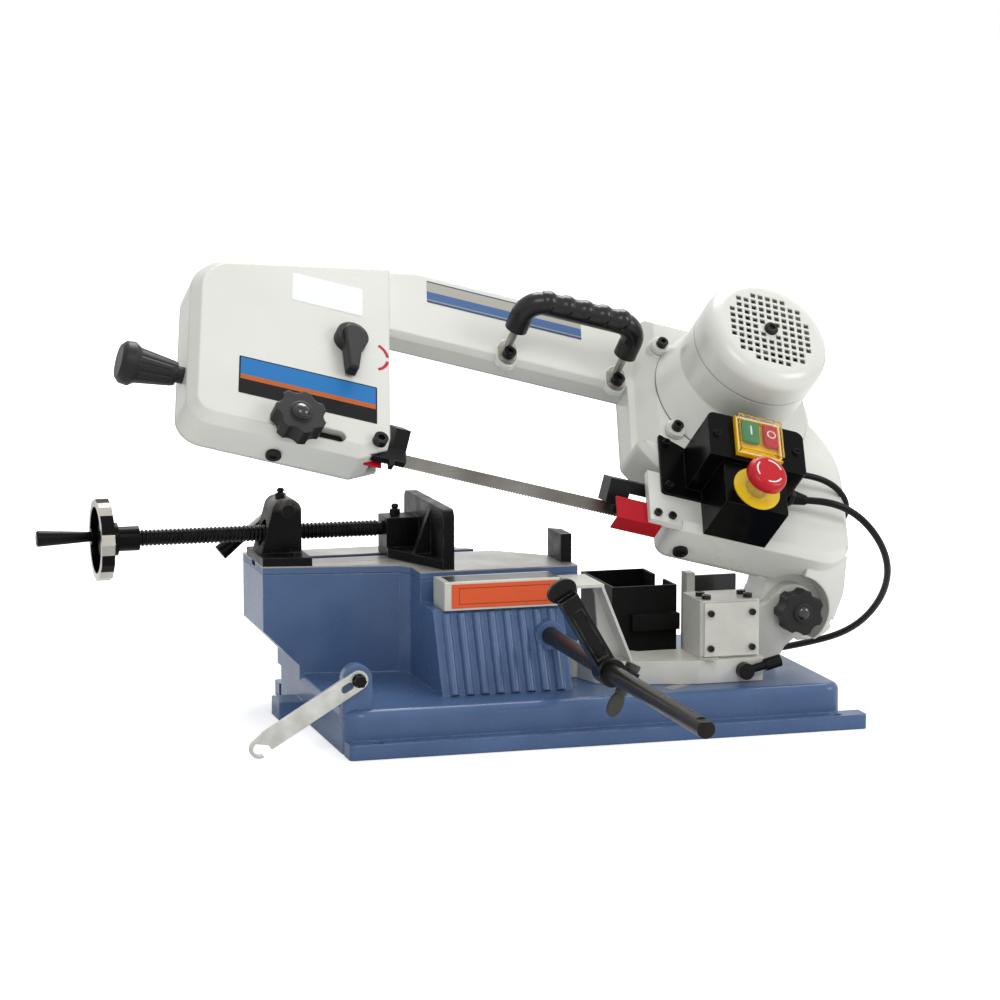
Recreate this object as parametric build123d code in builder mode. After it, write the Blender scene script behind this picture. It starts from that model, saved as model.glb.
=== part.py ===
"""Metal cutting band saw on a bench base: swivelling bow at 45 degrees, screw vise and length stop."""

import os
from math import cos, hypot, pi, radians, sin, sqrt, tan

from build123d import *

os.makedirs("parts", exist_ok=True)

# Fits
running = 0.05
slide_gap = 0.3
backlash = 0.26

# Base casting: tray with a lip, vise block and ribbed chute
base_length = 508
base_depth = 324
base_corner = 4
lip_height = 14
deck_height = 42
lip_left = 0
lip_right = 18
lip_width = 16
tray_corner = 18
tray_edge = 8
base_wall = 7
bench_hole_radius = 4.5
bench_hole_end = 29
bench_hole_edge = 7
block_overhang = 34
ear_reach_left = 24
ear_front = 30
ear_back = 64
ear_height = 18
block_front_left = 52
block_front_right = 28
block_neck = -158
block_right = 8
block_top = 140
block_undercut = 72
block_slant_top = 84
block_slant_bottom = 50
bed_thickness = 7.5
bed_slot_width = 16
bed_slot_depth = 5
chute_left = -150
chute_right = -22
chute_foot = -101
chute_lean = 34
chute_top = 118
rib_count = 8
rib_radius = 4.5
bar_left = -140
bar_right = -26
bar_depth = 40
bar_height = 27

# Blade, its cutting plane and the mitre axis of the turntable
blade_length = 1470
blade_width = 13
blade_thickness = 0.65
tooth_pitch = 3
tooth_depth = 1.2
blade_y = -26
blade_clear = 6
lowest_tooth = 146.2
mitre_x = 4
pivot_radius = 10
hub_radius = 23
scale_radius = 110
scale_width = 12

# Bow hinge: a pin along Y, and the angles at which the bow stands
hinge_x = 220
hinge_z = 99
bow_raise = 14.65
bow_tilt = 45
pin_radius = 8
lug_radius = 30
lug_width = 47.7
brow_depth = 10
cheek_thickness = 16
rear_cheek_thickness = 12
cheek_radius = 24
knob_radius = 25
pivot_knob_radius = 22
knob_height = 22

# Bow casting in the bow's own plane: x along the blade, v up the bow, n out of its front
wheel_diameter = 150
wheel_width = 16
axle_radius = 9
drive_x = 172
cast_back = -11
cast_wall = 6
front_wall = 8
beam_front = 15
beam_bottom = 146.5
beam_top = 231
beam_floor = 2
beam_facet = 7
head_front = 30
head_left = -417
head_right = -219
head_bottom = -27
head_shoulder = 150
head_bevel = 9
housing_front = 36
housing_bottom = -32
housing_radius = 90
housing_bevel = 7
post_left = 38
post_foot = 62
ramp_start = 46
ramp_end = 62
foot_left = 70
plate_left = 44
plate_top = 28
cover_thickness = 2
tension_x = -260
tension_v = 107
tension_radius = 16
tension_reach = 45
cam_radius = 8.5
cam_throw = 3
carriage_half = 34

# Motor and the gear pair to the drive wheel
gear_module = 1.5
gear_teeth = 106
pinion_teeth = 14
gear_width = 9
gear_back = 13.5
motor_bearing = 109.4
drive_shaft_radius = 8
motor_shaft_radius = 6
motor_radius = 66
motor_wall = 4
flange_radius = 90
flange_v = 145
flange_bottom = 71
ear_radius = 11
ear_reach = 89
ear_bearings = (149, 222, 40)
flange_thickness = 6
motor_waist = 62
fan_seam = 95
motor_front = 131
fan_hole = 5.2
fan_pitch = 8
fan_patch = 46

# Blade guides and guard
guide_x = -214
guide_length = 14
right_guide_length = 22
guide_travel = 45
guide_knob_x = -314
guide_knob_v = -13
guide_bar_height = 16
guide_bar_back = 14
guide_bolt_radius = 4
right_guide_x = 8
guide_depth = 12
guide_height = 24
roller_radius = 6
roller_height = 9
guard_left = 12

# Carry handle
lug_left = -91
lug_right = 25
lug_v = 149
lug_pad_radius = 11
eye_rise = 10
lug_thickness = 5
stem_radius = 4
handle_lean = 30
handle_rise = 60
handle_bend = 19
sleeve_radius = 11.5
sleeve_start = 25

# Controls
box_left = 83
box_right = 185
box_top = 67
box_step = 14
box_front = 96
stop_box_left = 99
stop_box_right = 164
stop_box_front = 90
switch_left = 110
switch_right = 158
switch_bottom = 19
switch_top = 65
switch_height = 5
estop_x = 132
estop_v = -13
estop_radius = 20
estop_disc_radius = 24
estop_collar_radius = 12
button_travel = 3
estop_travel = 5
gland_v = 22
gland_n = 52
gland_length = 20

# Vise
screw_y = 96
screw_z = 174
screw_radius = 8
screw_pitch = 4
thread_depth = 1.1
journal_radius = 6
jaw_face = -114
jaw_thickness = 11
jaw_front = -13
jaw_depth = 150
jaw_height = 58
jaw_boss = -158
jaw_closing = 66
bracket_length = 47
bracket_back = 128
bracket_foot = 8.5
arch_depth = 40
arch_top = 209
nut_radius = 13
release_inset = 31
release_z = 197
release_radius = 6
screw_overhang = 113
hub_length = 42
handwheel_radius = 40
handwheel_width = 13
crank_offset = 29
crank_length = 53

# Length stop and transport hook
stop_x = -40
stop_z = 92
stop_rod_radius = 8
stop_rod_tip = -525
stop_rod_end = -55
stop_arm_y = -266
stop_pad_x = -83
stop_pad_z = 166
clamp_fall = 25.8
clamp_reach = 25
hook_inset = 14
hook_z = 70
hook_post = 12
hook_post_radius = 14
hook_bolt_radius = 4
hook_thickness = 5

# Turntable, swivel block and chip bin
turntable_top = 65
swivel_left = 105
swivel_right = 165
swivel_front = -104
swivel_back = -50
swivel_top = 121
swivel_cover = 3
screen_y = -11
screen_top = 134
bin_left = 52
bin_right = 119
bin_front = 6
bin_back = 108
bin_height = 73
bin_wall = 2.5
bin_plate = 3

# Mains lead, its coil behind the base, and the motor cable
lead_radius = 3.6
cable_radius = 3.2
coil_x = 100
coil_y = 248
coil_radius = 40
coil_section = 10

# Values that follow from the driving dimensions
tray_left = lip_left - base_length / 2
tray_right = base_length / 2 - lip_right
tray_depth = base_depth - 2 * lip_width
bench_hole_x = base_length / 2 - bench_hole_end
bench_hole_y = base_depth / 2 - bench_hole_edge
ear_left = tray_left - ear_reach_left
tray_front = -tray_depth / 2
tray_back = tray_depth / 2
block_left = tray_left - block_overhang
bracket_left = block_left
bracket_right = bracket_left + bracket_length
front_fall = (block_front_right - block_front_left) / (block_neck - block_left)
bracket_front = block_front_left + front_fall * bracket_length
release_x = bracket_left + release_inset
wheel_hub_end = bracket_left - screw_overhang
handwheel_x = wheel_hub_end - hub_length
hook_x = tray_left + hook_inset
hook_y = tray_front + hook_post
bed_top = block_top + bed_thickness
bed_front = blade_y + blade_clear
bar_back = blade_y - blade_clear
bar_top = chute_top + bar_height
turntable_bottom = deck_height + slide_gap
blade_line = lowest_tooth + blade_width / 2
wheel_v = wheel_diameter / 2
wheel_radius = wheel_v - blade_thickness / 2
idler_x = drive_x - (blade_length - pi * wheel_diameter) / 2
gear_radius = gear_module * gear_teeth / 2
pinion_radius = gear_module * pinion_teeth / 2
motor_x = drive_x + (gear_radius + pinion_radius) * cos(radians(motor_bearing))
motor_v = wheel_v + (gear_radius + pinion_radius) * sin(radians(motor_bearing))
flange_ears = [(ear_reach * cos(radians(turn)), ear_reach * sin(radians(turn))) for turn in ear_bearings]
head_inside = head_front - front_wall
housing_inside = housing_front - front_wall
housing_right = drive_x + housing_radius
lug_front = swivel_back + cheek_thickness + slide_gap
lug_back = lug_front + lug_width


def raised_direction(x, y, z):
    """A direction of the lowered bow, turned to the angle at which the bow stands."""
    angle = radians(bow_raise)
    return x * cos(angle) + z * sin(angle), y, z * cos(angle) - x * sin(angle)


def raised(x, y, z):
    """A point of the lowered bow, where it is on the raised one."""
    across, depth, rise = raised_direction(x - hinge_x, y, z - hinge_z)
    return hinge_x + across, depth, hinge_z + rise


bow = Plane(
    origin=raised(0, blade_y, blade_line),
    x_dir=raised_direction(1, 0, 0),
    z_dir=raised_direction(0, -cos(radians(bow_tilt)), sin(radians(bow_tilt))),
)
cut = Plane(origin=bow.origin, x_dir=bow.x_dir, z_dir=(0, -1, 0))
hinge = Plane(origin=(hinge_x, 0, hinge_z), x_dir=bow.x_dir, z_dir=(0, 1, 0))
front = Plane(origin=(0, 0, 0), x_dir=(-1, 0, 0), z_dir=(0, 1, 0))
side = Plane(origin=(0, 0, 0), x_dir=(0, 1, 0), z_dir=(1, 0, 0))


def rounded_polygon(corners):
    """Polygon in the current sketch; a corner's third number is its radius."""
    Polygon(*[corner[:2] for corner in corners], align=None)
    for corner in corners:
        if len(corner) == 3:
            fillet(vertices().sort_by_distance((corner[0], corner[1], 0))[0], corner[2])


def shape(plane, corners, start, end, mode=Mode.ADD):
    """Rounded polygon on a plane, drawn out from start to end along its normal."""
    with BuildSketch(plane.offset(start)) as face:
        rounded_polygon(corners)
    extrude(face.sketch, amount=end - start, mode=mode)


def block(plane, x_range, y_range, z_range, mode=Mode.ADD):
    """Box in a plane's own x, y and z."""
    left, right = x_range
    low, high = y_range
    shape(plane, [(left, low), (right, low), (right, high), (left, high)], *z_range, mode)


def rod(plane, x, y, radius, start, end, mode=Mode.ADD):
    """Cylinder along a plane's normal."""
    with BuildSketch(plane.offset(start)) as face:
        with Locations((x, y)):
            Circle(radius)
    extrude(face.sketch, amount=end - start, mode=mode)


def front_view(corners):
    """Corners given as x and z, for the plane that faces along Y."""
    return [(-corner[0], *corner[1:]) for corner in corners]


def star_knob(plane, x, y, radius, start, end, lobes=7):
    """Star grip between two heights, with a raised cap in its middle."""
    with BuildSketch(plane.offset(start)) as star:
        with Locations((x, y)):
            Circle(radius)
            with PolarLocations(radius * 1.28, lobes):
                Circle(radius * 0.43, mode=Mode.SUBTRACT)
    extrude(star.sketch, amount=end - start)
    rod(plane, x, y, radius * 0.42, start, end + (end - start) * 0.12)


def socket_screw(plane, x, y, radius, start, height):
    """Head of a socket screw with its hexagon socket."""
    rod(plane, x, y, radius, start, start + height)
    with BuildSketch(plane.offset(start + height)) as socket:
        with Locations((x, y)):
            RegularPolygon(radius * 0.55, 6)
    extrude(socket.sketch, amount=-height * 0.5, mode=Mode.SUBTRACT)


def save(part, name):
    part.label = name
    export_step(part, "parts/" + name + ".step")


# Base casting. The rear corner of the vise block is cut on the line that the chip bin reaches when the
# turntable is swung round to 45 degrees.
bin_line = mitre_x + blade_y + (bin_left - mitre_x) * sqrt(2) - 4
block_plan = [
    (block_left, tray_back),
    (block_left, block_front_left),
    (block_neck, block_front_right),
    (chute_left, block_front_right - 12),
    (chute_left, bed_front),
    (block_right, bed_front),
    (block_right, bin_line - block_right),
    (bin_line - tray_back, tray_back),
]
hub_room = (chute_right - 2, block_right + 2 * hub_radius)
with BuildPart() as base_casting:
    with BuildSketch():
        with Locations(((tray_left + tray_right) / 2, 0)):
            RectangleRounded(tray_right - tray_left, tray_depth, tray_corner)
    extrude(amount=deck_height)
    fillet(faces().sort_by(Axis.Z)[-1].edges(), tray_edge)
    for rim, inner in ((-base_depth / 2, tray_front + base_wall), (base_depth / 2, tray_back - base_wall)):
        strip = [(-base_length / 2, rim, base_corner), (base_length / 2, rim, base_corner)]
        strip += [(base_length / 2, inner), (-base_length / 2, inner)]
        shape(Plane.XY, strip, 0, lip_height)
    block(Plane.XY, (ear_left, tray_left + base_wall), (ear_front, ear_back), (0, ear_height))
    shape(Plane.XY, block_plan, deck_height - tray_edge, block_top)
    undercut = [
        (block_left - 20, block_slant_top + 20),
        (block_left, block_slant_top),
        (tray_left, block_slant_bottom),
        (tray_left, ear_height),
        (block_left - 20, ear_height),
    ]
    shape(front, front_view(undercut), bed_front, tray_back + 1, Mode.SUBTRACT)
    block(Plane.XY, hub_room, (bed_front, tray_back), (deck_height, block_undercut), Mode.SUBTRACT)
    chute = [
        (chute_foot, deck_height),
        (chute_foot + chute_lean, chute_top),
        (bed_front, chute_top),
        (bed_front, deck_height),
    ]
    shape(side, chute, chute_left, chute_right)
    chute_rise = chute_top - deck_height
    slope = Plane(origin=(0, chute_foot, deck_height), x_dir=(1, 0, 0), z_dir=(0, chute_lean, chute_rise))
    slope_length = hypot(chute_lean, chute_rise)
    rib_pitch = (chute_right - chute_left - 2 * rib_radius) / rib_count
    for rib in range(rib_count):
        rib_x = chute_left + rib_radius + (rib + 0.5) * rib_pitch
        rod(slope, rib_x, 0, rib_radius, 0, slope_length - rib_radius)
    boss_front = chute_foot + chute_lean * (stop_z - deck_height) / chute_rise - stop_rod_radius
    rod(front, -stop_x, stop_z, stop_rod_radius + 6, boss_front, stop_rod_end)
    post = [
        (hook_x - hook_post_radius, deck_height - tray_edge),
        (hook_x - hook_post_radius, hook_z + hook_post_radius, hook_post_radius - 0.1),
        (hook_x + hook_post_radius, hook_z + hook_post_radius, hook_post_radius - 0.1),
        (hook_x + hook_post_radius, deck_height - tray_edge),
    ]
    shape(front, front_view(post), hook_y, hook_y + hook_post)
    with BuildSketch():
        with Locations(((tray_left + tray_right) / 2, 0)):
            inside = (tray_right - tray_left - 2 * base_wall, tray_depth - 2 * base_wall)
            RectangleRounded(*inside, tray_corner - base_wall)
    extrude(amount=deck_height - base_wall, mode=Mode.SUBTRACT)
    block_inside = [
        (tray_left + base_wall, tray_back - base_wall),
        (tray_left + base_wall, block_front_left + base_wall),
        (block_neck + base_wall, block_front_right + base_wall),
        (chute_left + base_wall, bed_front + base_wall),
        (hub_room[0] - base_wall, bed_front + base_wall),
        (hub_room[0] - base_wall, bin_line - hub_room[0] - base_wall),
        (bin_line - tray_back - base_wall, tray_back - base_wall),
    ]
    shape(Plane.XY, block_inside, deck_height - 2 * base_wall, block_top - base_wall, Mode.SUBTRACT)
    chute_inside = [
        (chute_foot + 2 * base_wall, deck_height - 2 * base_wall),
        (chute_foot + chute_lean + base_wall, chute_top - base_wall),
        (bed_front - base_wall, chute_top - base_wall),
        (bed_front - base_wall, deck_height - 2 * base_wall),
    ]
    chute_room = (chute_left + base_wall, stop_x - stop_rod_radius - 2 * base_wall)
    shape(side, chute_inside, *chute_room, Mode.SUBTRACT)
    rod(front, -stop_x, stop_z, stop_rod_radius + running, boss_front - 1, stop_rod_end, Mode.SUBTRACT)
    hook_bore = (hook_y - 1, hook_y + hook_post + 1)
    rod(front, -hook_x, hook_z, hook_bolt_radius + running, *hook_bore, Mode.SUBTRACT)
    rod(Plane.XY, mitre_x, blade_y, pivot_radius + running, 0, deck_height + 1, Mode.SUBTRACT)
    for hole_x in (-bench_hole_x, bench_hole_x):
        for hole_y in (-bench_hole_y, bench_hole_y):
            rod(Plane.XY, hole_x, hole_y, bench_hole_radius, 0, lip_height, Mode.SUBTRACT)
save(base_casting.part, "base_casting")

# Steel bed of the vise with the slot that guides the moving jaw
with BuildPart() as vise_bed:
    shape(Plane.XY, block_plan, block_top, bed_top)
    slot_room = (screw_y - bed_slot_width / 2, screw_y + bed_slot_width / 2)
    slot_length = (block_left, jaw_face + jaw_closing)
    block(Plane.XY, slot_length, slot_room, (bed_top - bed_slot_depth, bed_top), Mode.SUBTRACT)
    for line_y in (slot_room[0] - 26, slot_room[0] - 52):
        line_room = (line_y - 1, line_y + 1)
        block(Plane.XY, (bracket_right, jaw_face), line_room, (bed_top - 1, bed_top), Mode.SUBTRACT)
save(vise_bed.part, "vise_bed")

# Support bar in front of the blade slot
with BuildPart() as support_bar:
    block(Plane.XY, (bar_left, bar_right), (bar_back - bar_depth, bar_back), (chute_top, bar_top))
    chamfer(edges().filter_by(Axis.X).group_by(Axis.Z)[-1], 1)
save(support_bar.part, "support_bar")

# Bracket of the vise screw: foot on the bed and arch over the feed nut
arch_front = screw_y - arch_depth / 2
with BuildPart() as nut_bracket:
    bracket_plan = [
        (bracket_left, block_front_left),
        (bracket_right, bracket_front),
        (bracket_right, bracket_back),
        (bracket_left, bracket_back),
    ]
    shape(Plane.XY, bracket_plan, bed_top, bed_top + bracket_foot)
    arch = [
        (bracket_left + 2, bed_top + 1),
        (release_x - 13, arch_top, 12),
        (release_x + 13, arch_top, 12),
        (release_x + 13, bed_top + 1),
    ]
    shape(front, front_view(arch), arch_front, arch_front + arch_depth)
    rod(side, screw_y, screw_z, nut_radius, bracket_left - 1, bracket_right + 1, Mode.SUBTRACT)
    rod(front, -release_x, release_z, release_radius + running, arch_front - 1, bracket_back, Mode.SUBTRACT)
    rod(Plane.XY, release_x - 5, screw_y - 8, 4, arch_top - 2, arch_top + 5)
    rod(Plane.XY, release_x - 5, screw_y - 8, 2.5, arch_top + 4, arch_top + 9)
    for bolt_y in (bracket_front + 12, bracket_back - 6):
        with BuildSketch(Plane.XY.offset(bed_top + bracket_foot)):
            with Locations((bracket_right - 14, bolt_y - 2)):
                RegularPolygon(6.5, 6)
        extrude(amount=5)
save(nut_bracket.part, "nut_bracket")

# Feed nut of the vise screw
with BuildPart() as feed_nut:
    rod(side, screw_y, screw_z, nut_radius, release_x - 14, release_x + 13)
    rod(side, screw_y, screw_z, screw_radius + running, release_x - 15, release_x + 14, Mode.SUBTRACT)
save(feed_nut.part, "feed_nut")

# Quick release lever behind the bracket, on a shaft through its top
lever_y = arch_front + arch_depth + 8
with BuildPart() as quick_release_lever:
    rod(front, -release_x, release_z, release_radius, arch_front + 1, lever_y + 4)
    rod(front, -release_x, release_z, 10, lever_y - 7, lever_y + 5)
    lever = Plane(
        origin=(release_x, lever_y, release_z),
        x_dir=(0, 1, 0),
        z_dir=(-cos(radians(38)), 0, -sin(radians(38))),
    )
    rod(lever, 0, 0, 3.5, 6, 40)
    with BuildSketch(lever.offset(38)):
        Circle(6)
    with BuildSketch(lever.offset(74)):
        Circle(8)
    loft()
save(quick_release_lever.part, "quick_release_lever")

# Moving jaw: face plate, foot with a tongue in the bed's slot, gusset and the boss on the screw's end
jaw_back = jaw_face - jaw_thickness
boss_top = screw_z + 20
with BuildPart() as moving_jaw:
    jaw_room = (jaw_front, jaw_front + jaw_depth)
    jaw_base = bed_top + slide_gap / 3
    jaw_top = bed_top + jaw_height
    plate = [(jaw_room[0], jaw_base), (jaw_room[0], jaw_top, 8), (jaw_room[1], jaw_top, 8)]
    shape(side, [*plate, (jaw_room[1], jaw_base)], jaw_back, jaw_face)
    foot = [
        (jaw_face - 1, jaw_room[0]),
        (jaw_back, jaw_room[0]),
        (jaw_boss, screw_y - 24, 6),
        (jaw_boss, screw_y + 20, 6),
        (jaw_face - 1, screw_y + 20),
    ]
    shape(Plane.XY, foot, jaw_base, bed_top + 9)
    block(Plane.XY, (jaw_boss, jaw_back + 1), (screw_y - 18, screw_y + 16), (bed_top + 1, boss_top - 8))
    gusset = [(jaw_back + 1, bed_top + 1), (jaw_back + 1, jaw_top - 2), (jaw_back - 18, bed_top + 8)]
    shape(front, front_view(gusset), jaw_front + 46, jaw_front + 54)
    tongue = (screw_y - bed_slot_width / 2 + slide_gap, screw_y + bed_slot_width / 2 - slide_gap)
    tongue_bottom = bed_top - bed_slot_depth + slide_gap
    block(Plane.XY, (jaw_boss + 8, jaw_back), tongue, (tongue_bottom, bed_top + 1))
    rod(Plane.XY, jaw_boss + 12, screw_y - 4, 4.5, boss_top - 9, boss_top - 2)
    rod(Plane.XY, jaw_boss + 12, screw_y - 4, 2.5, boss_top - 3, boss_top + 4)
    rod(side, screw_y, screw_z, journal_radius + running, jaw_boss - 1, jaw_back - 6, Mode.SUBTRACT)
save(moving_jaw.part, "moving_jaw")

# Fixed jaw beside the blade slot
with BuildPart() as fixed_jaw:
    jaw_plan = [
        (block_right - jaw_thickness, 0),
        (block_right, 0),
        (block_right, bin_line - block_right - 1),
        (block_right - jaw_thickness, bin_line - block_right + jaw_thickness - 1),
    ]
    shape(Plane.XY, jaw_plan, bed_top, bed_top + 27.5)
save(fixed_jaw.part, "fixed_jaw")

# Vise screw with ridges for its thread and a journal in the jaw
thread_turns = int((jaw_boss - wheel_hub_end - 4) / screw_pitch)
with BuildPart() as vise_screw:
    rod(side, screw_y, screw_z, screw_radius - thread_depth, wheel_hub_end, jaw_boss - slide_gap)
    rod(side, screw_y, screw_z, journal_radius, jaw_boss - 2, jaw_back - 8)
    axis_line = Plane(origin=(wheel_hub_end, screw_y, screw_z), x_dir=(1, 0, 0), z_dir=(0, -1, 0))
    with BuildSketch(axis_line):
        ridges = [(0, screw_radius / 2)]
        for turn in range(thread_turns):
            start = 2 + turn * screw_pitch
            ridges.append((start, screw_radius - thread_depth))
            ridges.append((start + screw_pitch * 0.3, screw_radius))
            ridges.append((start + screw_pitch * 0.55, screw_radius))
            ridges.append((start + screw_pitch * 0.85, screw_radius - thread_depth))
        ridges.append((thread_turns * screw_pitch + 2, screw_radius / 2))
        Polygon(*ridges, align=None)
    revolve(axis=Axis((0, screw_y, screw_z), (1, 0, 0)))
save(vise_screw.part, "vise_screw")

# Handwheel: twelve-sided rim, web and hub on the end of the screw
rim_right = handwheel_x + handwheel_width
crank_height = -1
crank_y = screw_y + sqrt(crank_offset**2 - crank_height**2)
with BuildPart() as handwheel:
    with BuildSketch(side.offset(handwheel_x)):
        with Locations((screw_y, screw_z)):
            RegularPolygon(handwheel_radius, 12)
            Circle(handwheel_radius - 8, mode=Mode.SUBTRACT)
    extrude(amount=handwheel_width)
    rod(side, screw_y, screw_z, handwheel_radius - 7, rim_right - 5, rim_right)
    rod(side, screw_y, screw_z, 16, rim_right - 8, rim_right + 8)
    rod(side, screw_y, screw_z, 12, rim_right - 8, wheel_hub_end)
    rod(side, crank_y, screw_z + crank_height, 8, handwheel_x, rim_right - 4)
    rod(side, crank_y, screw_z + crank_height, 4 + running, handwheel_x, rim_right - 6, Mode.SUBTRACT)
save(handwheel.part, "handwheel")

# Crank handle that turns on its own pin in the handwheel
crank = side.offset(handwheel_x)
with BuildPart() as crank_handle:
    rod(crank, crank_y, screw_z + crank_height, 4, 0, handwheel_width - 7)
    with BuildSketch(crank.offset(-slide_gap)):
        with Locations((crank_y, screw_z + crank_height)):
            Circle(5)
    with BuildSketch(crank.offset(-crank_length)):
        with Locations((crank_y, screw_z + crank_height)):
            Circle(8)
    loft()
    rod(crank, crank_y, screw_z + crank_height, 4, -slide_gap - 1, 1)
    fillet(faces().sort_by(Axis.X)[0].edges(), 2)
save(crank_handle.part, "crank_handle")

# Rod of the length stop
with BuildPart() as stop_rod:
    rod(front, -stop_x, stop_z, stop_rod_radius, stop_rod_tip, stop_rod_end)
    fillet(faces().sort_by(Axis.Y)[0].edges(), 1)
    flat_room = (-stop_x - stop_rod_radius, -stop_x + stop_rod_radius)
    flat_height = (stop_z + 0.8 * stop_rod_radius, stop_z + 2 * stop_rod_radius)
    block(front, flat_room, flat_height, (stop_rod_tip, stop_rod_tip + 14), Mode.SUBTRACT)
save(stop_rod.part, "stop_rod")

# Arm of the length stop: split clamp on the rod, flat arm and the oval pad
arm_depth = 22
arm_length = hypot(stop_pad_x - stop_x, stop_pad_z - stop_z)
arm = Plane(
    origin=(stop_x, stop_arm_y - arm_depth / 2, stop_z),
    x_dir=(stop_pad_x - stop_x, 0, stop_pad_z - stop_z),
    z_dir=(0, 1, 0),
)
clamp_direction = (cos(radians(clamp_fall)), 0, -sin(radians(clamp_fall)))
clamp = Plane(origin=arm.origin, x_dir=clamp_direction, z_dir=(0, 1, 0))
with BuildPart() as stop_arm:
    rod(arm, 0, 0, stop_rod_radius + 5, 0, arm_depth)
    block(arm, (stop_rod_radius, arm_length - 6), (-9, 9), (3, arm_depth - 3))
    block(arm, (16, arm_length - 20), (-5.5, 5.5), (2, 6), Mode.SUBTRACT)
    for ear_side in ((2.5, 8.5), (-8.5, -2.5)):
        block(clamp, (0, clamp_reach), ear_side, (2, arm_depth - 2))
    with BuildSketch(arm.offset(arm_depth - 3)):
        with Locations((arm_length, 0)):
            Ellipse(10, 14)
    extrude(amount=-5)
    rod(arm, 0, 0, stop_rod_radius + running, -1, arm_depth + 1, Mode.SUBTRACT)
    clamp_room = (stop_rod_radius - 2, clamp_reach + 1)
    block(clamp, clamp_room, (-2.5, 2.5), (-1, arm_depth + 1), Mode.SUBTRACT)
    wing_place = clamp.from_local_coords((clamp_reach - 6, 0, arm_depth / 2))
    wing = Plane(origin=wing_place, x_dir=clamp.x_dir, z_dir=-clamp.y_dir)
    rod(wing, 0, 0, 3 + running, -12, 12, Mode.SUBTRACT)
save(stop_arm.part, "stop_arm")

# Wing screw that closes the clamp
with BuildPart() as stop_wing_screw:
    rod(wing, 0, 0, 3, -12, 13)
    rod(wing, 0, 0, 5.5, -15, -8.5 - slide_gap)
    rod(wing, 0, 0, 7, 8.5 + slide_gap, 15)
    spade = Plane(origin=wing.from_local_coords((0, 0, -25)), x_dir=wing.x_dir, z_dir=(0, 1, 0))
    with BuildSketch(spade):
        Ellipse(6.5, 12)
    extrude(amount=2.5, both=True)
save(stop_wing_screw.part, "stop_wing_screw")

# Transport hook: a link on the post with a keyhole and an open hook at its end
hook_span = 101
hook_fall = 31
hook = Plane(
    origin=(hook_x, hook_y - slide_gap, hook_z),
    x_dir=(-cos(radians(hook_fall)), 0, -sin(radians(hook_fall))),
    z_dir=(0, -1, 0),
)
with BuildPart() as transport_hook:
    with BuildSketch(hook):
        Circle(9)
        with Locations((hook_span + 9.5, 2)):
            Circle(9)
            Circle(5.7, mode=Mode.SUBTRACT)
        with Locations((hook_span + 3.5, 5.5)):
            Rectangle(12, 17, mode=Mode.SUBTRACT)
        with Locations((hook_span / 2, 0)):
            Rectangle(hook_span, 18)
        neck = [(hook_span - 1, -8.5), (hook_span + 9.5, -7), (hook_span + 9.5, -3.7), (hook_span - 1, 5)]
        Polygon(*neck, align=None)
        with Locations((12.5, 0)):
            SlotOverall(13, 7, mode=Mode.SUBTRACT)
        Circle(hook_bolt_radius + running, mode=Mode.SUBTRACT)
    extrude(amount=hook_thickness)
save(transport_hook.part, "transport_hook")

# Bolt of the hook
hook_front = hook_y - slide_gap - hook_thickness - slide_gap
with BuildPart() as hook_bolt:
    rod(front, -hook_x, hook_z, hook_bolt_radius, hook_front, hook_y + hook_post + 6)
    rod(front, -hook_x, hook_z, 6.5, hook_front - 2, hook_front)
    with BuildSketch(front.offset(hook_front - 8)):
        with Locations((-hook_x, hook_z)):
            RegularPolygon(6, 6)
    extrude(amount=7)
    with BuildSketch(front.offset(hook_y + hook_post)):
        with Locations((-hook_x, hook_z)):
            RegularPolygon(7, 6)
    extrude(amount=5)
save(hook_bolt.part, "hook_bolt")

# Mitre scale on the deck, a ring sector about the pivot
with BuildPart() as mitre_scale:
    with BuildSketch(Plane.XY.offset(deck_height)):
        with Locations((mitre_x, blade_y)):
            Circle(scale_radius + scale_width)
            Circle(scale_radius, mode=Mode.SUBTRACT)
        with Locations((mitre_x, blade_y)):
            sector = [(0, 0), (240 * cos(radians(-58)), 240 * sin(radians(-58))), (240, -130), (240, -8)]
            Polygon(*sector, align=None, mode=Mode.INTERSECT)
    extrude(amount=slide_gap * 0.6)
save(mitre_scale.part, "mitre_scale")

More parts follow.
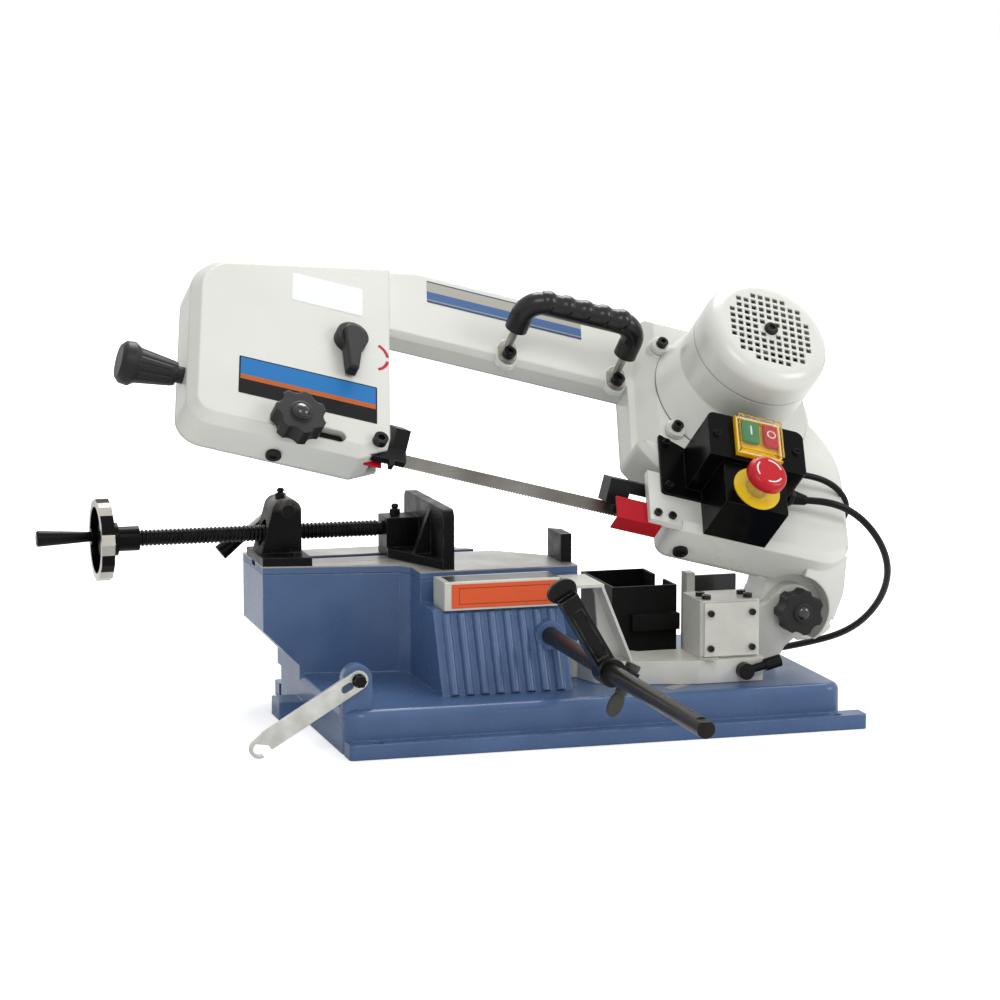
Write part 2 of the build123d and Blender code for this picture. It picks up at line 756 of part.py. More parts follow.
# Turntable: hub, arm under the swivel block, plate for the bin and the sheet chute in front of the blade
lock_x = (swivel_left + swivel_right) / 2 + 11
lock_z = (turntable_bottom + turntable_top) / 2
lock_front = swivel_front - 8
chute_sheet = 3
bin_floor = turntable_bottom + bin_plate
with BuildPart() as turntable:
    rod(Plane.XY, mitre_x, blade_y, hub_radius, turntable_bottom, turntable_top)
    turntable_plan = [
        (mitre_x - 6, blade_y - 24, 6),
        (mitre_x + 2, -80, 8),
        (mitre_x + 16, -92, 12),
        (swivel_left - 5, swivel_front - 8, 8),
        (swivel_right + 3, swivel_front - 8, 6),
        (swivel_right + 3, swivel_back),
        (60, swivel_back),
        (30, blade_y + 6),
    ]
    shape(Plane.XY, turntable_plan, turntable_bottom, turntable_top)
    bin_depth = (swivel_back - 10, bin_back + 4)
    block(Plane.XY, (bin_left - 1, bin_right + 6), bin_depth, (turntable_bottom, bin_floor))
    chute_front = -98
    sheet_top = 138
    sheet_foot = turntable_top - 1
    sheet = [
        (mitre_x + 3, sheet_top),
        (mitre_x + 6, sheet_top),
        (mitre_x + 36, sheet_foot),
        (mitre_x + 33, sheet_foot),
    ]
    shape(front, front_view(sheet), chute_front, swivel_back - 10)
    lip_depth = (chute_front, bar_back - 4)
    block(Plane.XY, (mitre_x - 22, mitre_x + 6), lip_depth, (sheet_top, sheet_top + chute_sheet))
    chute_apron = [
        (mitre_x + 4, sheet_top + 1),
        (mitre_x + 7, sheet_top + 1),
        (mitre_x + 36, sheet_foot),
        (mitre_x + 10, sheet_foot),
    ]
    shape(front, front_view(chute_apron), -72, -69)
    rod(Plane.XY, mitre_x, blade_y, pivot_radius + running, 0, turntable_top + 1, Mode.SUBTRACT)
    rod(front, -lock_x, lock_z, 5 + running, lock_front - 1, lock_front + 16, Mode.SUBTRACT)
save(turntable.part, "turntable")

# Pivot of the turntable: bolt with a washer head above and a nut below the deck
with BuildPart() as turntable_pivot:
    rod(Plane.XY, mitre_x, blade_y, pivot_radius, deck_height - base_wall - 12, turntable_top + slide_gap)
    rod(Plane.XY, mitre_x, blade_y, 15, turntable_top + slide_gap, turntable_top + 4)
    with BuildSketch(Plane.XY.offset(deck_height - base_wall - 10)):
        with Locations((mitre_x, blade_y)):
            RegularPolygon(16, 6)
    extrude(amount=10)
save(turntable_pivot.part, "turntable_pivot")

# Mitre pointer on the arm's edge
with BuildPart() as mitre_pointer:
    pointer_y = swivel_front - 8
    pointer_base = pointer_y + 6
    pointer = [(swivel_left - 4, pointer_base), (swivel_left + 18, pointer_base)]
    pointer.append((swivel_left + 7, pointer_y - 10))
    shape(Plane.XY, pointer, turntable_top, turntable_top + 1.5)
save(mitre_pointer.part, "mitre_pointer")

# Mitre lock: a lever on a short shaft in the arm's front edge
with BuildPart() as mitre_lock_lever:
    rod(front, -lock_x, lock_z, 5, lock_front - 2, lock_front + 14)
    rod(front, -lock_x, lock_z, 8, lock_front - 10, lock_front - slide_gap)
    lock_grip = Plane(origin=(lock_x, lock_front - 6, lock_z), x_dir=(0, 1, 0), z_dir=(1, 0, 0.25))
    rod(lock_grip, 0, 0, 4, 4, 34)
    rod(lock_grip, 0, 0, 6, 20, 36)
save(mitre_lock_lever.part, "mitre_lock_lever")

# Swivel block that carries the bow's hinge, its cover and its screws
with BuildPart() as swivel_block:
    block(Plane.XY, (swivel_left, swivel_right), (swivel_front, swivel_back), (turntable_top, swivel_top))
    chamfer(edges().filter_by(Axis.Z), 2)
save(swivel_block.part, "swivel_block")

cover_front = swivel_front - swivel_cover
with BuildPart() as swivel_cover_plate:
    cover = [(swivel_left + 3, turntable_top + 2), (swivel_right - 3, turntable_top + 2)]
    cover += [(swivel_right - 3, swivel_top - 2), (swivel_left + 3, swivel_top - 2)]
    shape(front, front_view(cover), cover_front, swivel_front)
save(swivel_cover_plate.part, "swivel_cover")

with BuildPart() as swivel_screws:
    for screw_x in (swivel_left + 9, swivel_right - 9):
        for screw_height in (turntable_top + 10, swivel_top - 12):
            socket_screw(front.offset(cover_front), -screw_x, screw_height, 3.2, 0, -3)
        for screw_depth in (swivel_front + 10, swivel_front + 28):
            socket_screw(Plane.XY, screw_x, screw_depth, 4.5, swivel_top, 4)
save(swivel_screws.part, "swivel_screws")

# Hinge bracket: front cheek on the swivel block, rear cheek and the base that joins them
rear_cheek = lug_back + slide_gap
with BuildPart() as pivot_bracket:
    front_cheek = [
        (bin_right + 8, turntable_bottom),
        (hinge_x - 20, turntable_bottom),
        (hinge_x - 8, hinge_z - 37),
        (hinge_x + 12, hinge_z - 21),
        (hinge_x, hinge_z + cheek_radius),
        (hinge_x - 30, hinge_z + 5),
        (bin_right + 8, hinge_z + 5),
    ]
    shape(front, front_view(front_cheek), swivel_back, swivel_back + cheek_thickness)
    rod(front, -hinge_x, hinge_z, cheek_radius, swivel_back, swivel_back + cheek_thickness)
    rear_plate = [
        (hinge_x - 62, turntable_bottom),
        (hinge_x - 20, turntable_bottom),
        (hinge_x + 15, hinge_z - 18),
        (hinge_x - 12, hinge_z + 20),
        (hinge_x - 62, turntable_bottom + 14),
    ]
    shape(front, front_view(rear_plate), rear_cheek, rear_cheek + rear_cheek_thickness)
    rod(front, -hinge_x, hinge_z, cheek_radius, rear_cheek, rear_cheek + rear_cheek_thickness)
    foot_height = turntable_bottom + 12
    foot_depth = (swivel_back, rear_cheek + rear_cheek_thickness)
    block(Plane.XY, (hinge_x - 72, hinge_x - 20), foot_depth, (turntable_bottom, foot_height))
    screen_post = (bin_right + 1.5, bin_right + 10)
    block(Plane.XY, screen_post, (screen_y - 8, screen_y + 8), (bin_floor, screen_top))
    screen_room = (bin_right + 9, hinge_x - 46)
    block(Plane.XY, screen_room, (screen_y - 2, screen_y + 2), (bin_floor, screen_top - 4))
    pin_bore = (swivel_back - 1, rear_cheek + rear_cheek_thickness + 1)
    rod(front, -hinge_x, hinge_z, pin_radius + running, *pin_bore, Mode.SUBTRACT)
save(pivot_bracket.part, "pivot_bracket")

# Hinge pin with a rear head and a front stud for the knob
pin_back = rear_cheek + rear_cheek_thickness
stud_radius = 5
with BuildPart() as hinge_pin:
    rod(front, -hinge_x, hinge_z, pin_radius, swivel_back, pin_back)
    rod(front, -hinge_x, hinge_z, pin_radius + 4, pin_back, pin_back + 6)
    rod(front, -hinge_x, hinge_z, stud_radius, swivel_back - 20, swivel_back + 1)
save(hinge_pin.part, "hinge_pin")

# Star knob that clamps the hinge
knob_plane = Plane(origin=(hinge_x, swivel_back - slide_gap, hinge_z), x_dir=(1, 0, 0), z_dir=(0, -1, 0))
with BuildPart() as pivot_knob:
    rod(knob_plane, 0, 0, 12, 0, 6)
    star_knob(knob_plane, 0, 0, pivot_knob_radius, 5, 5 + knob_height)
    rod(knob_plane, 0, 0, stud_radius + running, -1, 20, Mode.SUBTRACT)
save(pivot_knob.part, "pivot_knob")

# Chip bin with an open top, a front lip to lift it by and a low right rim
bin_bottom = bin_floor + slide_gap
bin_top = bin_bottom + bin_height
with BuildPart() as chip_bin:
    block(Plane.XY, (bin_left, bin_right), (bin_front, bin_back), (bin_bottom, bin_top))
    inside_x = (bin_left + bin_wall, bin_right - bin_wall)
    inside_y = (bin_front + bin_wall, bin_back - bin_wall)
    block(Plane.XY, inside_x, inside_y, (bin_bottom + bin_wall, bin_top), Mode.SUBTRACT)
    notch = (bin_front + 36, bin_back - 36)
    block(Plane.XY, (bin_right - 4, bin_right + 1), notch, (bin_top - 12, bin_top), Mode.SUBTRACT)
    lip_room = (bin_bottom + 30, bin_bottom + 46)
    block(Plane.XY, (bin_left + 18, bin_right), (bin_front - 10, bin_front + 1), lip_room)
    lip_inside = (bin_left + 18 + bin_wall, bin_right - bin_wall)
    lip_under = (lip_room[0] - 1, lip_room[1] - bin_wall)
    block(Plane.XY, lip_inside, (bin_front - 10 + bin_wall, bin_front), lip_under, Mode.SUBTRACT)
save(chip_bin.part, "chip_bin")

# Planes of the bow: across the blade, and the upright plane of the carry handle
across = Plane(origin=bow.origin, x_dir=bow.y_dir, z_dir=bow.x_dir)


head_peak = beam_top - 54.5
head_corner = beam_top - 8.5
head_slope = (head_corner - head_peak) / (head_right - head_left - 22)
beam_start = head_right - 2 * cast_wall
slope_end = head_right + (beam_top - head_corner) / head_slope
above_slope = [
    (beam_start - 1, head_corner - head_slope * (head_right - beam_start + 1)),
    (slope_end, beam_top),
    (slope_end, beam_top + 1),
    (beam_start - 1, beam_top + 1),
]


def head_outline():
    """Outline of the idler head in the bow's plane."""
    rounded_polygon(
        [
            (head_left, head_bottom, 25),
            (head_left, head_shoulder, 40),
            (head_left + 22, head_peak, 40),
            (head_right, head_corner),
            (head_right, head_bottom + 15),
            (head_right - 27, head_bottom),
        ]
    )


def housing_outline():
    """Outline of the post, the drive housing and the motor seat in the bow's plane."""
    rounded_polygon(
        [
            (post_left, beam_top),
            (post_left, post_foot, 12),
            (foot_left, post_foot + post_left - foot_left, 12),
            (foot_left, housing_bottom, 12),
            (housing_right, housing_bottom, 34),
            (housing_right, wheel_v),
            (motor_x, beam_top),
        ]
    )
    with Locations((drive_x, wheel_v)):
        Circle(housing_radius)
    with Locations((motor_x, flange_v)):
        Circle(flange_radius)


# Bow casting: idler head, beam, drive housing and the lug on the hinge. It is open at the back, except for
# the corner above the lug, which stays solid behind the drive wheel.
lug_corner_x = drive_x + 14
lug_corner_v = 26
lug_wall = -wheel_width / 2 - 1
upright = Plane(origin=bow.origin, x_dir=bow.x_dir, z_dir=-bow.y_dir)
blade_window = (-0.7 * blade_width, 0.7 * blade_width)
bar_room = (guide_knob_v - guide_bar_height / 2 + 1, guide_knob_v + guide_bar_height / 2 + 1)
knob_slot_middle = guide_knob_x + guide_travel / 2
with BuildPart() as bow_casting:
    with BuildSketch(bow.offset(cast_back)):
        housing_outline()
    extrude(amount=housing_front - cast_back)
    chamfer(faces().sort_by(Axis(bow.origin, bow.z_dir))[-1].edges(), housing_bevel)
    with BuildSketch(bow.offset(cast_back)):
        head_outline()
    extrude(amount=head_front - cast_back)
    middles = [(edge, bow.to_local_coords(edge.center())) for edge in edges()]
    head_edges = [edge for edge, at in middles if abs(at.Z - head_front) < 0.01 and at.X < head_right - 1]
    chamfer(head_edges, head_bevel)
    beam = [
        (beam_bottom, cast_back + beam_floor),
        (beam_bottom + beam_floor, cast_back),
        (beam_top, cast_back),
        (beam_top, beam_front),
        (beam_bottom + beam_facet / 2, beam_front),
        (beam_bottom, beam_front - beam_facet),
    ]
    shape(across, beam, beam_start, post_left + 2 * cast_wall)
    shape(bow, above_slope, cast_back - 1, beam_front + 1, Mode.SUBTRACT)
    for lug_x in (lug_left, lug_right):
        rod(bow, lug_x, lug_v, lug_pad_radius, beam_front - beam_facet, beam_front)
    web = [(-28, 0), (20, 31), (33, 27), (48, 14, 12), (54, -24, 30), (46, -70), (-28, -70)]
    shape(hinge, web, lug_front, lug_back)
    brow = [(0, -62), (38, -62), (44, -26, 30), (39, 12, 12), (26, 24), (18, 17), (0, 0)]
    shape(hinge, brow, swivel_back - brow_depth, lug_front)
    rod(hinge, 0, 0, lug_radius, lug_front, lug_back)
    ramp = [
        (post_left - 1, beam_front),
        (ramp_start, beam_front),
        (ramp_end, housing_front + 1),
        (post_left - 1, housing_front + 1),
    ]
    shape(upright, ramp, -beam_top - 20, -post_foot - 4, Mode.SUBTRACT)
    for ear_x, ear_v in flange_ears:
        rod(bow, motor_x + ear_x, flange_v + ear_v, ear_radius, 0, housing_front)
    with BuildSketch(bow.offset(lug_wall)):
        housing_outline()
        offset(amount=-cast_wall)
    extrude(amount=beam_front - front_wall - lug_wall, mode=Mode.SUBTRACT)
    with BuildSketch(bow.offset(lug_wall)):
        housing_outline()
        offset(amount=-cast_wall)
        with Locations((ramp_end - 50, beam_top)):
            Rectangle(100 + 2 * cast_wall, 2 * (beam_top - post_foot), mode=Mode.SUBTRACT)
    extrude(amount=housing_inside - lug_wall, mode=Mode.SUBTRACT)
    with BuildSketch(bow.offset(cast_back)):
        housing_outline()
        offset(amount=-cast_wall)
        corner_width = housing_right - lug_corner_x
        with Locations((lug_corner_x + corner_width / 2, lug_corner_v / 2 + housing_bottom / 2)):
            Rectangle(corner_width, lug_corner_v - housing_bottom, mode=Mode.SUBTRACT)
    extrude(amount=lug_wall - cast_back, mode=Mode.SUBTRACT)
    with BuildSketch(bow.offset(cast_back)):
        head_outline()
        offset(amount=-cast_wall)
    extrude(amount=head_inside - cast_back, mode=Mode.SUBTRACT)
    beam_depth = (cast_back, beam_front - beam_facet)
    beam_room = (slope_end - 8, post_left + 3 * cast_wall)
    beam_hollow = (beam_bottom + beam_floor, beam_top - cast_wall)
    block(bow, beam_room, beam_hollow, beam_depth, Mode.SUBTRACT)
    neck_room = (head_right - 3 * cast_wall, slope_end - 7)
    neck_hollow = (beam_bottom + beam_floor, beam_top - 3 * cast_wall)
    block(bow, neck_room, neck_hollow, beam_depth, Mode.SUBTRACT)
    wall_cut = (blade_window[0], head_inside)
    block(bow, (head_right - 2 * cast_wall, head_right + 1), (-24, 14), wall_cut, Mode.SUBTRACT)
    bar_window = (guide_bar_back - slide_gap, head_inside)
    bar_cut = (bar_room[0] - slide_gap, bar_room[1] + slide_gap)
    block(bow, (head_right - 36, head_right + 1), bar_cut, bar_window, Mode.SUBTRACT)
    block(bow, (foot_left - 1, foot_left + 2 * cast_wall), blade_window, blade_window, Mode.SUBTRACT)
    rod(bow, drive_x, wheel_v, drive_shaft_radius + 8, gear_back + gear_width + 0.5, housing_inside + 1)
    rod(bow, drive_x, wheel_v, drive_shaft_radius + running, 0, housing_front + 1, Mode.SUBTRACT)
    rod(bow, motor_x, motor_v, motor_shaft_radius + running, 0, housing_front + 1, Mode.SUBTRACT)
    rod(bow, tension_x, tension_v, 5 + running, 0, head_front + 1, Mode.SUBTRACT)
    with BuildSketch(bow.offset(head_inside - 1)):
        with Locations((knob_slot_middle, guide_knob_v)):
            SlotCenterToCenter(guide_travel, 2 * guide_bolt_radius + 4)
    extrude(amount=front_wall + 2, mode=Mode.SUBTRACT)
    for rail_v in (wheel_v - carriage_half - cast_wall, wheel_v + carriage_half + slide_gap):
        rail_room = (rail_v, rail_v + cast_wall - slide_gap)
        block(bow, (idler_x - 44, idler_x + 36), rail_room, (gear_back, head_inside + 1))
    rod(hinge, 0, 0, lug_radius + 4, -90, lug_front, Mode.SUBTRACT)
    brow_hole = (swivel_back - brow_depth - 1, swivel_back)
    rod(hinge, lug_radius + 8.5, 4, 3, *brow_hole, Mode.SUBTRACT)
    block(bow, (plate_left, foot_left + 8), (housing_bottom, plate_top), (housing_inside, housing_front))
    rod(hinge, 0, 0, pin_radius + running, lug_front - 1, lug_back + 1, Mode.SUBTRACT)
save(bow_casting.part, "bow_casting")

# Rear cover: a sheet over the open back, cut away around the lug's corner
with BuildPart() as rear_cover:
    with BuildSketch(bow.offset(cast_back - cover_thickness)):
        housing_outline()
        head_outline()
        with Locations(((head_right + post_left) / 2, (beam_bottom + beam_floor + beam_top) / 2)):
            Rectangle(post_left - head_right + 2 * cast_wall, beam_top - beam_bottom - beam_floor)
        Polygon(*above_slope, align=None, mode=Mode.SUBTRACT)
        with Locations((lug_corner_x + 60, lug_corner_v - 52)):
            Rectangle(132, 132, mode=Mode.SUBTRACT)
    extrude(amount=cover_thickness)
save(rear_cover.part, "rear_cover")

# Blade: round the wheels and along the beam its width stands across the bow; in the cut it is upright
twist_left = (idler_x + 12, head_right + 4)
twist_right = (foot_left - 8, drive_x - 12)
half_width = blade_width / 2
half_thickness = blade_thickness / 2


def blade_section(x, turn):
    """Blade's cross-section at x along the bow, turned by an angle from across the bow."""
    section = Plane(origin=bow.from_local_coords((x, 0, 0)), x_dir=bow.z_dir, z_dir=bow.x_dir)
    with BuildSketch(section.rotated((0, 0, turn))) as outline:
        Rectangle(blade_width, blade_thickness)
    return outline.sketch.face()


with BuildPart() as blade:
    with BuildSketch(bow.offset(-half_width)):
        with Locations(((idler_x + drive_x) / 2, wheel_v)):
            SlotCenterToCenter(drive_x - idler_x, wheel_diameter + blade_thickness)
            SlotCenterToCenter(drive_x - idler_x, wheel_diameter - blade_thickness, mode=Mode.SUBTRACT)
    extrude(amount=blade_width)
    cut_away = (twist_left[0], twist_right[1])
    block(bow, cut_away, (-blade_width, blade_width), (-blade_width, blade_width), Mode.SUBTRACT)
    turns = [0, bow_tilt / 3, bow_tilt * 2 / 3, bow_tilt]
    for start, end in (twist_left, twist_right[::-1]):
        loft([blade_section(start + (end - start) * turn / bow_tilt, -turn) for turn in turns], ruled=True)
    teeth = int((twist_right[0] - twist_left[1]) / tooth_pitch)
    with BuildSketch(cut.offset(-half_thickness)):
        edge = [(twist_right[0], -half_width), (twist_right[0], half_width), (twist_left[1], half_width)]
        edge.append((twist_left[1], -half_width))
        for tooth in range(teeth):
            tip = twist_left[1] + tooth * tooth_pitch
            edge.append((tip + tooth_pitch * 0.4, tooth_depth - half_width))
            edge.append((tip + tooth_pitch, -half_width))
        Polygon(*edge, align=None)
    extrude(amount=blade_thickness)
save(blade.part, "blade")

# Idler wheel and the carriage that holds its axle and slides in the head's rails
rim_radius = wheel_radius - slide_gap
carriage_face = gear_back
cam_reach = cam_radius + cam_throw


def band_wheel(x, bore):
    """Band wheel with a thinner web, six holes and a hub."""
    half = wheel_width / 2
    rod(bow, x, wheel_v, rim_radius, -half, half)
    rod(bow, x, wheel_v, rim_radius - 12, 3, half, Mode.SUBTRACT)
    rod(bow, x, wheel_v, rim_radius - 12, -half, -3, Mode.SUBTRACT)
    rod(bow, x, wheel_v, 20, -half, carriage_face - slide_gap)
    with BuildSketch(bow.offset(-half)) as holes:
        with Locations((x, wheel_v)):
            with PolarLocations(rim_radius - 33, 6):
                Circle(9)
    extrude(holes.sketch, amount=wheel_width, mode=Mode.SUBTRACT)
    if bore:
        rod(bow, x, wheel_v, bore, -half - 1, carriage_face, Mode.SUBTRACT)


with BuildPart() as idler_wheel:
    band_wheel(idler_x, axle_radius + running)
save(idler_wheel.part, "idler_wheel")

with BuildPart() as idler_carriage:
    carriage_right = tension_x - cam_reach - 0.8
    carriage_room = (wheel_v - carriage_half, wheel_v + carriage_half)
    block(bow, (idler_x - 40, carriage_right), carriage_room, (carriage_face, head_inside - slide_gap))
    rod(bow, idler_x, wheel_v, axle_radius, -wheel_width / 2 - 2, carriage_face + 1)
    rod(bow, idler_x, wheel_v, axle_radius + 3, -wheel_width / 2 - 2.5, -wheel_width / 2 - slide_gap)
save(idler_carriage.part, "idler_carriage")

# Tension lever outside the head, with an eccentric cam on its shaft inside
with BuildPart() as tension_lever:
    rod(bow, tension_x, tension_v, 5, carriage_face + 1, head_front + 2)
    rod(bow, tension_x - cam_throw, tension_v, cam_radius, carriage_face + 1, head_inside - slide_gap)
    rod(bow, tension_x, tension_v, tension_radius, head_front + slide_gap, head_front + 10)
    pointer = [
        (tension_x - 11, tension_v + 10, 8),
        (tension_x + 11, tension_v + 10, 8),
        (tension_x + 5, tension_v - tension_reach, 2),
        (tension_x - 5, tension_v - tension_reach, 2),
    ]
    shape(bow, pointer, head_front + 3, head_front + 16)
    chamfer(faces().sort_by(Axis(bow.origin, bow.z_dir))[-1].edges(), 2)
save(tension_lever.part, "tension_lever")

# Drive wheel with its shaft, and the gear on it
with BuildPart() as drive_wheel:
    band_wheel(drive_x, 0)
    rod(bow, drive_x, wheel_v, drive_shaft_radius, 0, housing_front - 1)
save(drive_wheel.part, "drive_wheel")


def toothed_wheel(teeth, bearing):
    """Gear outline in the current sketch, with a tooth at a bearing."""
    pitch_radius = gear_module * teeth / 2
    step = 2 * pi / teeth
    root = (-backlash, pitch_radius - 1.25 * gear_module)
    tip = (-backlash / 2.6, pitch_radius + 0.8 * gear_module)
    corners = []
    for tooth in range(teeth):
        for share, radius in (root, tip, (-tip[0], tip[1]), (-root[0], root[1])):
            angle = radians(bearing) + (tooth + share) * step
            corners.append((radius * cos(angle), radius * sin(angle)))
    Polygon(*corners, align=None)


with BuildPart() as drive_gear:
    with BuildSketch(bow.offset(gear_back)):
        with Locations((drive_x, wheel_v)):
            toothed_wheel(gear_teeth, motor_bearing)
            Circle(drive_shaft_radius, mode=Mode.SUBTRACT)
            with PolarLocations(gear_radius * 0.6, 6):
                Circle(12, mode=Mode.SUBTRACT)
    extrude(amount=gear_width)
    with BuildSketch(bow.offset(carriage_face - slide_gap)):
        with Locations((drive_x, wheel_v)):
            Circle(18)
            Circle(drive_shaft_radius, mode=Mode.SUBTRACT)
    extrude(amount=slide_gap)
save(drive_gear.part, "drive_gear")

# Motor housing: flange on the casting, a cone and the round shell
with BuildPart() as motor_housing:
    with BuildSketch(bow.offset(housing_front)):
        with Locations((motor_x, flange_v)):
            with Locations(*flange_ears):
                Circle(ear_radius - 1)
    extrude(amount=flange_thickness)
    with BuildSketch(bow.offset(housing_front)):
        with Locations((motor_x, flange_v)):
            Circle(flange_radius - housing_bevel)
    with BuildSketch(bow.offset(motor_waist)):
        with Locations((motor_x, motor_v)):
            Circle(motor_radius)
    loft()
    rod(bow, motor_x, motor_v, motor_radius, motor_waist, fan_seam)
    flange_cut = (motor_x - 2 * flange_radius, motor_x + 2 * flange_radius)
    cut_low = (flange_v - 2 * flange_radius, flange_bottom)
    block(bow, flange_cut, cut_low, (housing_front, motor_waist), Mode.SUBTRACT)
    motor_room = (housing_front + flange_thickness, fan_seam)
    rod(bow, motor_x, motor_v, motor_radius - motor_wall, *motor_room, Mode.SUBTRACT)
    rod(bow, motor_x, motor_v, motor_shaft_radius + running, housing_front, fan_seam, Mode.SUBTRACT)
save(motor_housing.part, "motor_housing")

# Fan cover with a grid of square holes
with BuildPart() as fan_cover:
    rod(bow, motor_x, motor_v, motor_radius, fan_seam, motor_front)
    fillet(faces().sort_by(Axis(bow.origin, bow.z_dir))[-1].edges(), 16)
    rod(bow, motor_x, motor_v, motor_radius - motor_wall, fan_seam, motor_front - 18, Mode.SUBTRACT)
    rod(bow, motor_x, motor_v, motor_radius - 16, motor_front - 20, motor_front - 1.6, Mode.SUBTRACT)
    with BuildSketch(bow.offset(motor_front - 4)):
        for row in range(-6, 7):
            for column in range(-6, 7):
                spot = (column * fan_pitch, row * fan_pitch)
                if 8 < hypot(*spot) < fan_patch:
                    with Locations((motor_x + spot[0], motor_v + spot[1])):
                        Rectangle(fan_hole, fan_hole)
    extrude(amount=5, mode=Mode.SUBTRACT)
    rod(bow, motor_x, motor_v, 3.5, motor_front - 3, motor_front + 1.5)
save(fan_cover.part, "fan_cover")

# Motor rotor: shaft, pinion, core and fan on one axis
with BuildPart() as motor_rotor:
    rod(bow, motor_x, motor_v, motor_shaft_radius, gear_back - 1, motor_front - 12)
    with BuildSketch(bow.offset(gear_back)):
        with Locations((motor_x, motor_v)):
            toothed_wheel(pinion_teeth, motor_bearing + 180 + 180 / pinion_teeth)
    extrude(amount=gear_width)
    core_back = housing_front + flange_thickness + 8
    rod(bow, motor_x, motor_v, motor_radius * 0.55, core_back, fan_seam - 12)
    rod(bow, motor_x, motor_v, 12, fan_seam - 2, fan_seam + 12)
    with BuildSketch(bow.offset(fan_seam)):
        with Locations((motor_x, motor_v)):
            with PolarLocations(28, 7):
                Rectangle(38, 3)
    extrude(amount=10)
save(motor_rotor.part, "motor_rotor")

# Blade guides: a block over the blade's back edge with two rollers beside the blade
guide_low = half_width + slide_gap
roller_offset = roller_radius + half_thickness + slide_gap / 3


def guide_block(left, length, deep):
    """Guide block at x with its rollers; deep is how far it reaches in front of the blade."""
    block(cut, (left, left + length), (guide_low, guide_low + guide_height), (-guide_depth, deep))
    for offset_side in (-roller_offset, roller_offset):
        level = Plane(origin=cut.from_local_coords((left + length / 2, 0, offset_side)), z_dir=cut.y_dir)
        rod(level, 0, 0, roller_radius, half_width - roller_height, half_width - 0.5)
        rod(level, 0, 0, roller_radius - 3, half_width - roller_height - 2, guide_low + 1)


with BuildPart() as guide_arm:
    guide_block(guide_x, guide_length, guide_depth + 8)
    bar_span = (guide_knob_x - 16, guide_x + guide_length)
    bar_depths = (guide_bar_back, head_inside - slide_gap)
    block(bow, bar_span, bar_room, bar_depths)
    tab = (guide_x - 2, guide_x + 2)
    block(bow, tab, (bar_room[0] - 6, bar_room[0] + 1), bar_depths)
    rod(bow, guide_knob_x, guide_knob_v, guide_bolt_radius + running, 0, head_front, Mode.SUBTRACT)
save(guide_arm.part, "guide_arm")

with BuildPart() as right_guide:
    guide_block(right_guide_x, right_guide_length, guide_depth)
    bracket_rise = (guide_low + guide_height / 2, guide_low + guide_height)
    block(cut, (right_guide_x, foot_left), bracket_rise, (-guide_depth, guide_depth - 4))
save(right_guide.part, "right_guide")

# Star knob that clamps the guide arm through the head's slot
with BuildPart() as guide_knob:
    rod(bow, guide_knob_x, guide_knob_v, guide_bolt_radius, guide_bar_back, head_front + 6)
    rod(bow, guide_knob_x, guide_knob_v, 11, head_front + slide_gap, head_front + 5)
    star_knob(bow, guide_knob_x, guide_knob_v, knob_radius, head_front + 4, head_front + knob_height)
save(guide_knob.part, "guide_knob")

# Red blade guard below the right guide
guard_low = housing_bottom - 2
with BuildPart() as blade_guard:
    block(bow, (guard_left, plate_left), (guard_low, -8), (housing_inside, housing_inside + 2))
    block(bow, (guard_left, plate_left + 14), (guard_low, housing_bottom), (12, housing_inside + 2))
save(blade_guard.part, "blade_guard")

# Grip handle on the head's left end
grip_v = 35.5
grip_n = 8
grip_plane = Plane(origin=bow.from_local_coords((0, grip_v, grip_n)), x_dir=bow.x_dir, z_dir=bow.z_dir)
with BuildPart() as grip_handle:
    with BuildSketch(grip_plane):
        profile = [
            (head_left, 0),
            (head_left, 8),
            (head_left - 7, 8),
            (head_left - 7, 11),
            (head_left - 10, 12),
            (head_left - 44, 17),
            (head_left - 50, 21),
            (head_left - 58, 20),
            (head_left - 62, 16),
            (head_left - 62, 0),
        ]
        Polygon(*profile, align=None)
    revolve(axis=Axis(grip_plane.origin, grip_plane.x_dir))
save(grip_handle.part, "grip_handle")

# Carry handle: a bent grip on two steel tubes with flat eyes screwed to the beam
lean = radians(handle_lean)
handle = Plane(
    origin=bow.from_local_coords((0, lug_v + eye_rise, beam_front + lug_thickness / 2)),
    x_dir=bow.x_dir,
    z_dir=raised_direction(0, -cos(lean), -sin(lean)),
)


def handle_stem(x):
    """Plane across one leg of the handle, at the top of its eye."""
    return Plane(origin=handle.from_local_coords((x, 0, 0)), x_dir=bow.x_dir, z_dir=handle.y_dir)


with BuildPart() as handle_lugs:
    for lug_x in (lug_left, lug_right):
        with BuildSketch(bow.offset(beam_front)):
            with Locations((lug_x, lug_v + eye_rise / 2)):
                SlotCenterToCenter(eye_rise, 18, rotation=90)
        extrude(amount=lug_thickness)
        rod(handle_stem(lug_x), 0, 0, stem_radius, 2, sleeve_start + 8)
save(handle_lugs.part, "handle_lugs")

with BuildPart() as carry_handle:
    with BuildLine(handle):
        FilletPolyline(
            (lug_left, sleeve_start),
            (lug_left, handle_rise),
            (lug_right, handle_rise),
            (lug_right, sleeve_start),
            radius=handle_bend,
        )
    with BuildSketch(handle_stem(lug_left).offset(sleeve_start)):
        Circle(sleeve_radius)
    sweep()
    bump_count = 5
    bump_pitch = (lug_right - lug_left - 2 * handle_bend) / (bump_count - 1)
    for bump in range(bump_count):
        bump_x = lug_left + handle_bend + bump * bump_pitch
        with Locations(handle.from_local_coords((bump_x, handle_rise + 1.5, 0))):
            Sphere(sleeve_radius + 0.6)
    for lug_x in (lug_left, lug_right):
        rod(handle_stem(lug_x), 0, 0, stem_radius, 0, sleeve_start + 8, Mode.SUBTRACT)
save(carry_handle.part, "carry_handle")

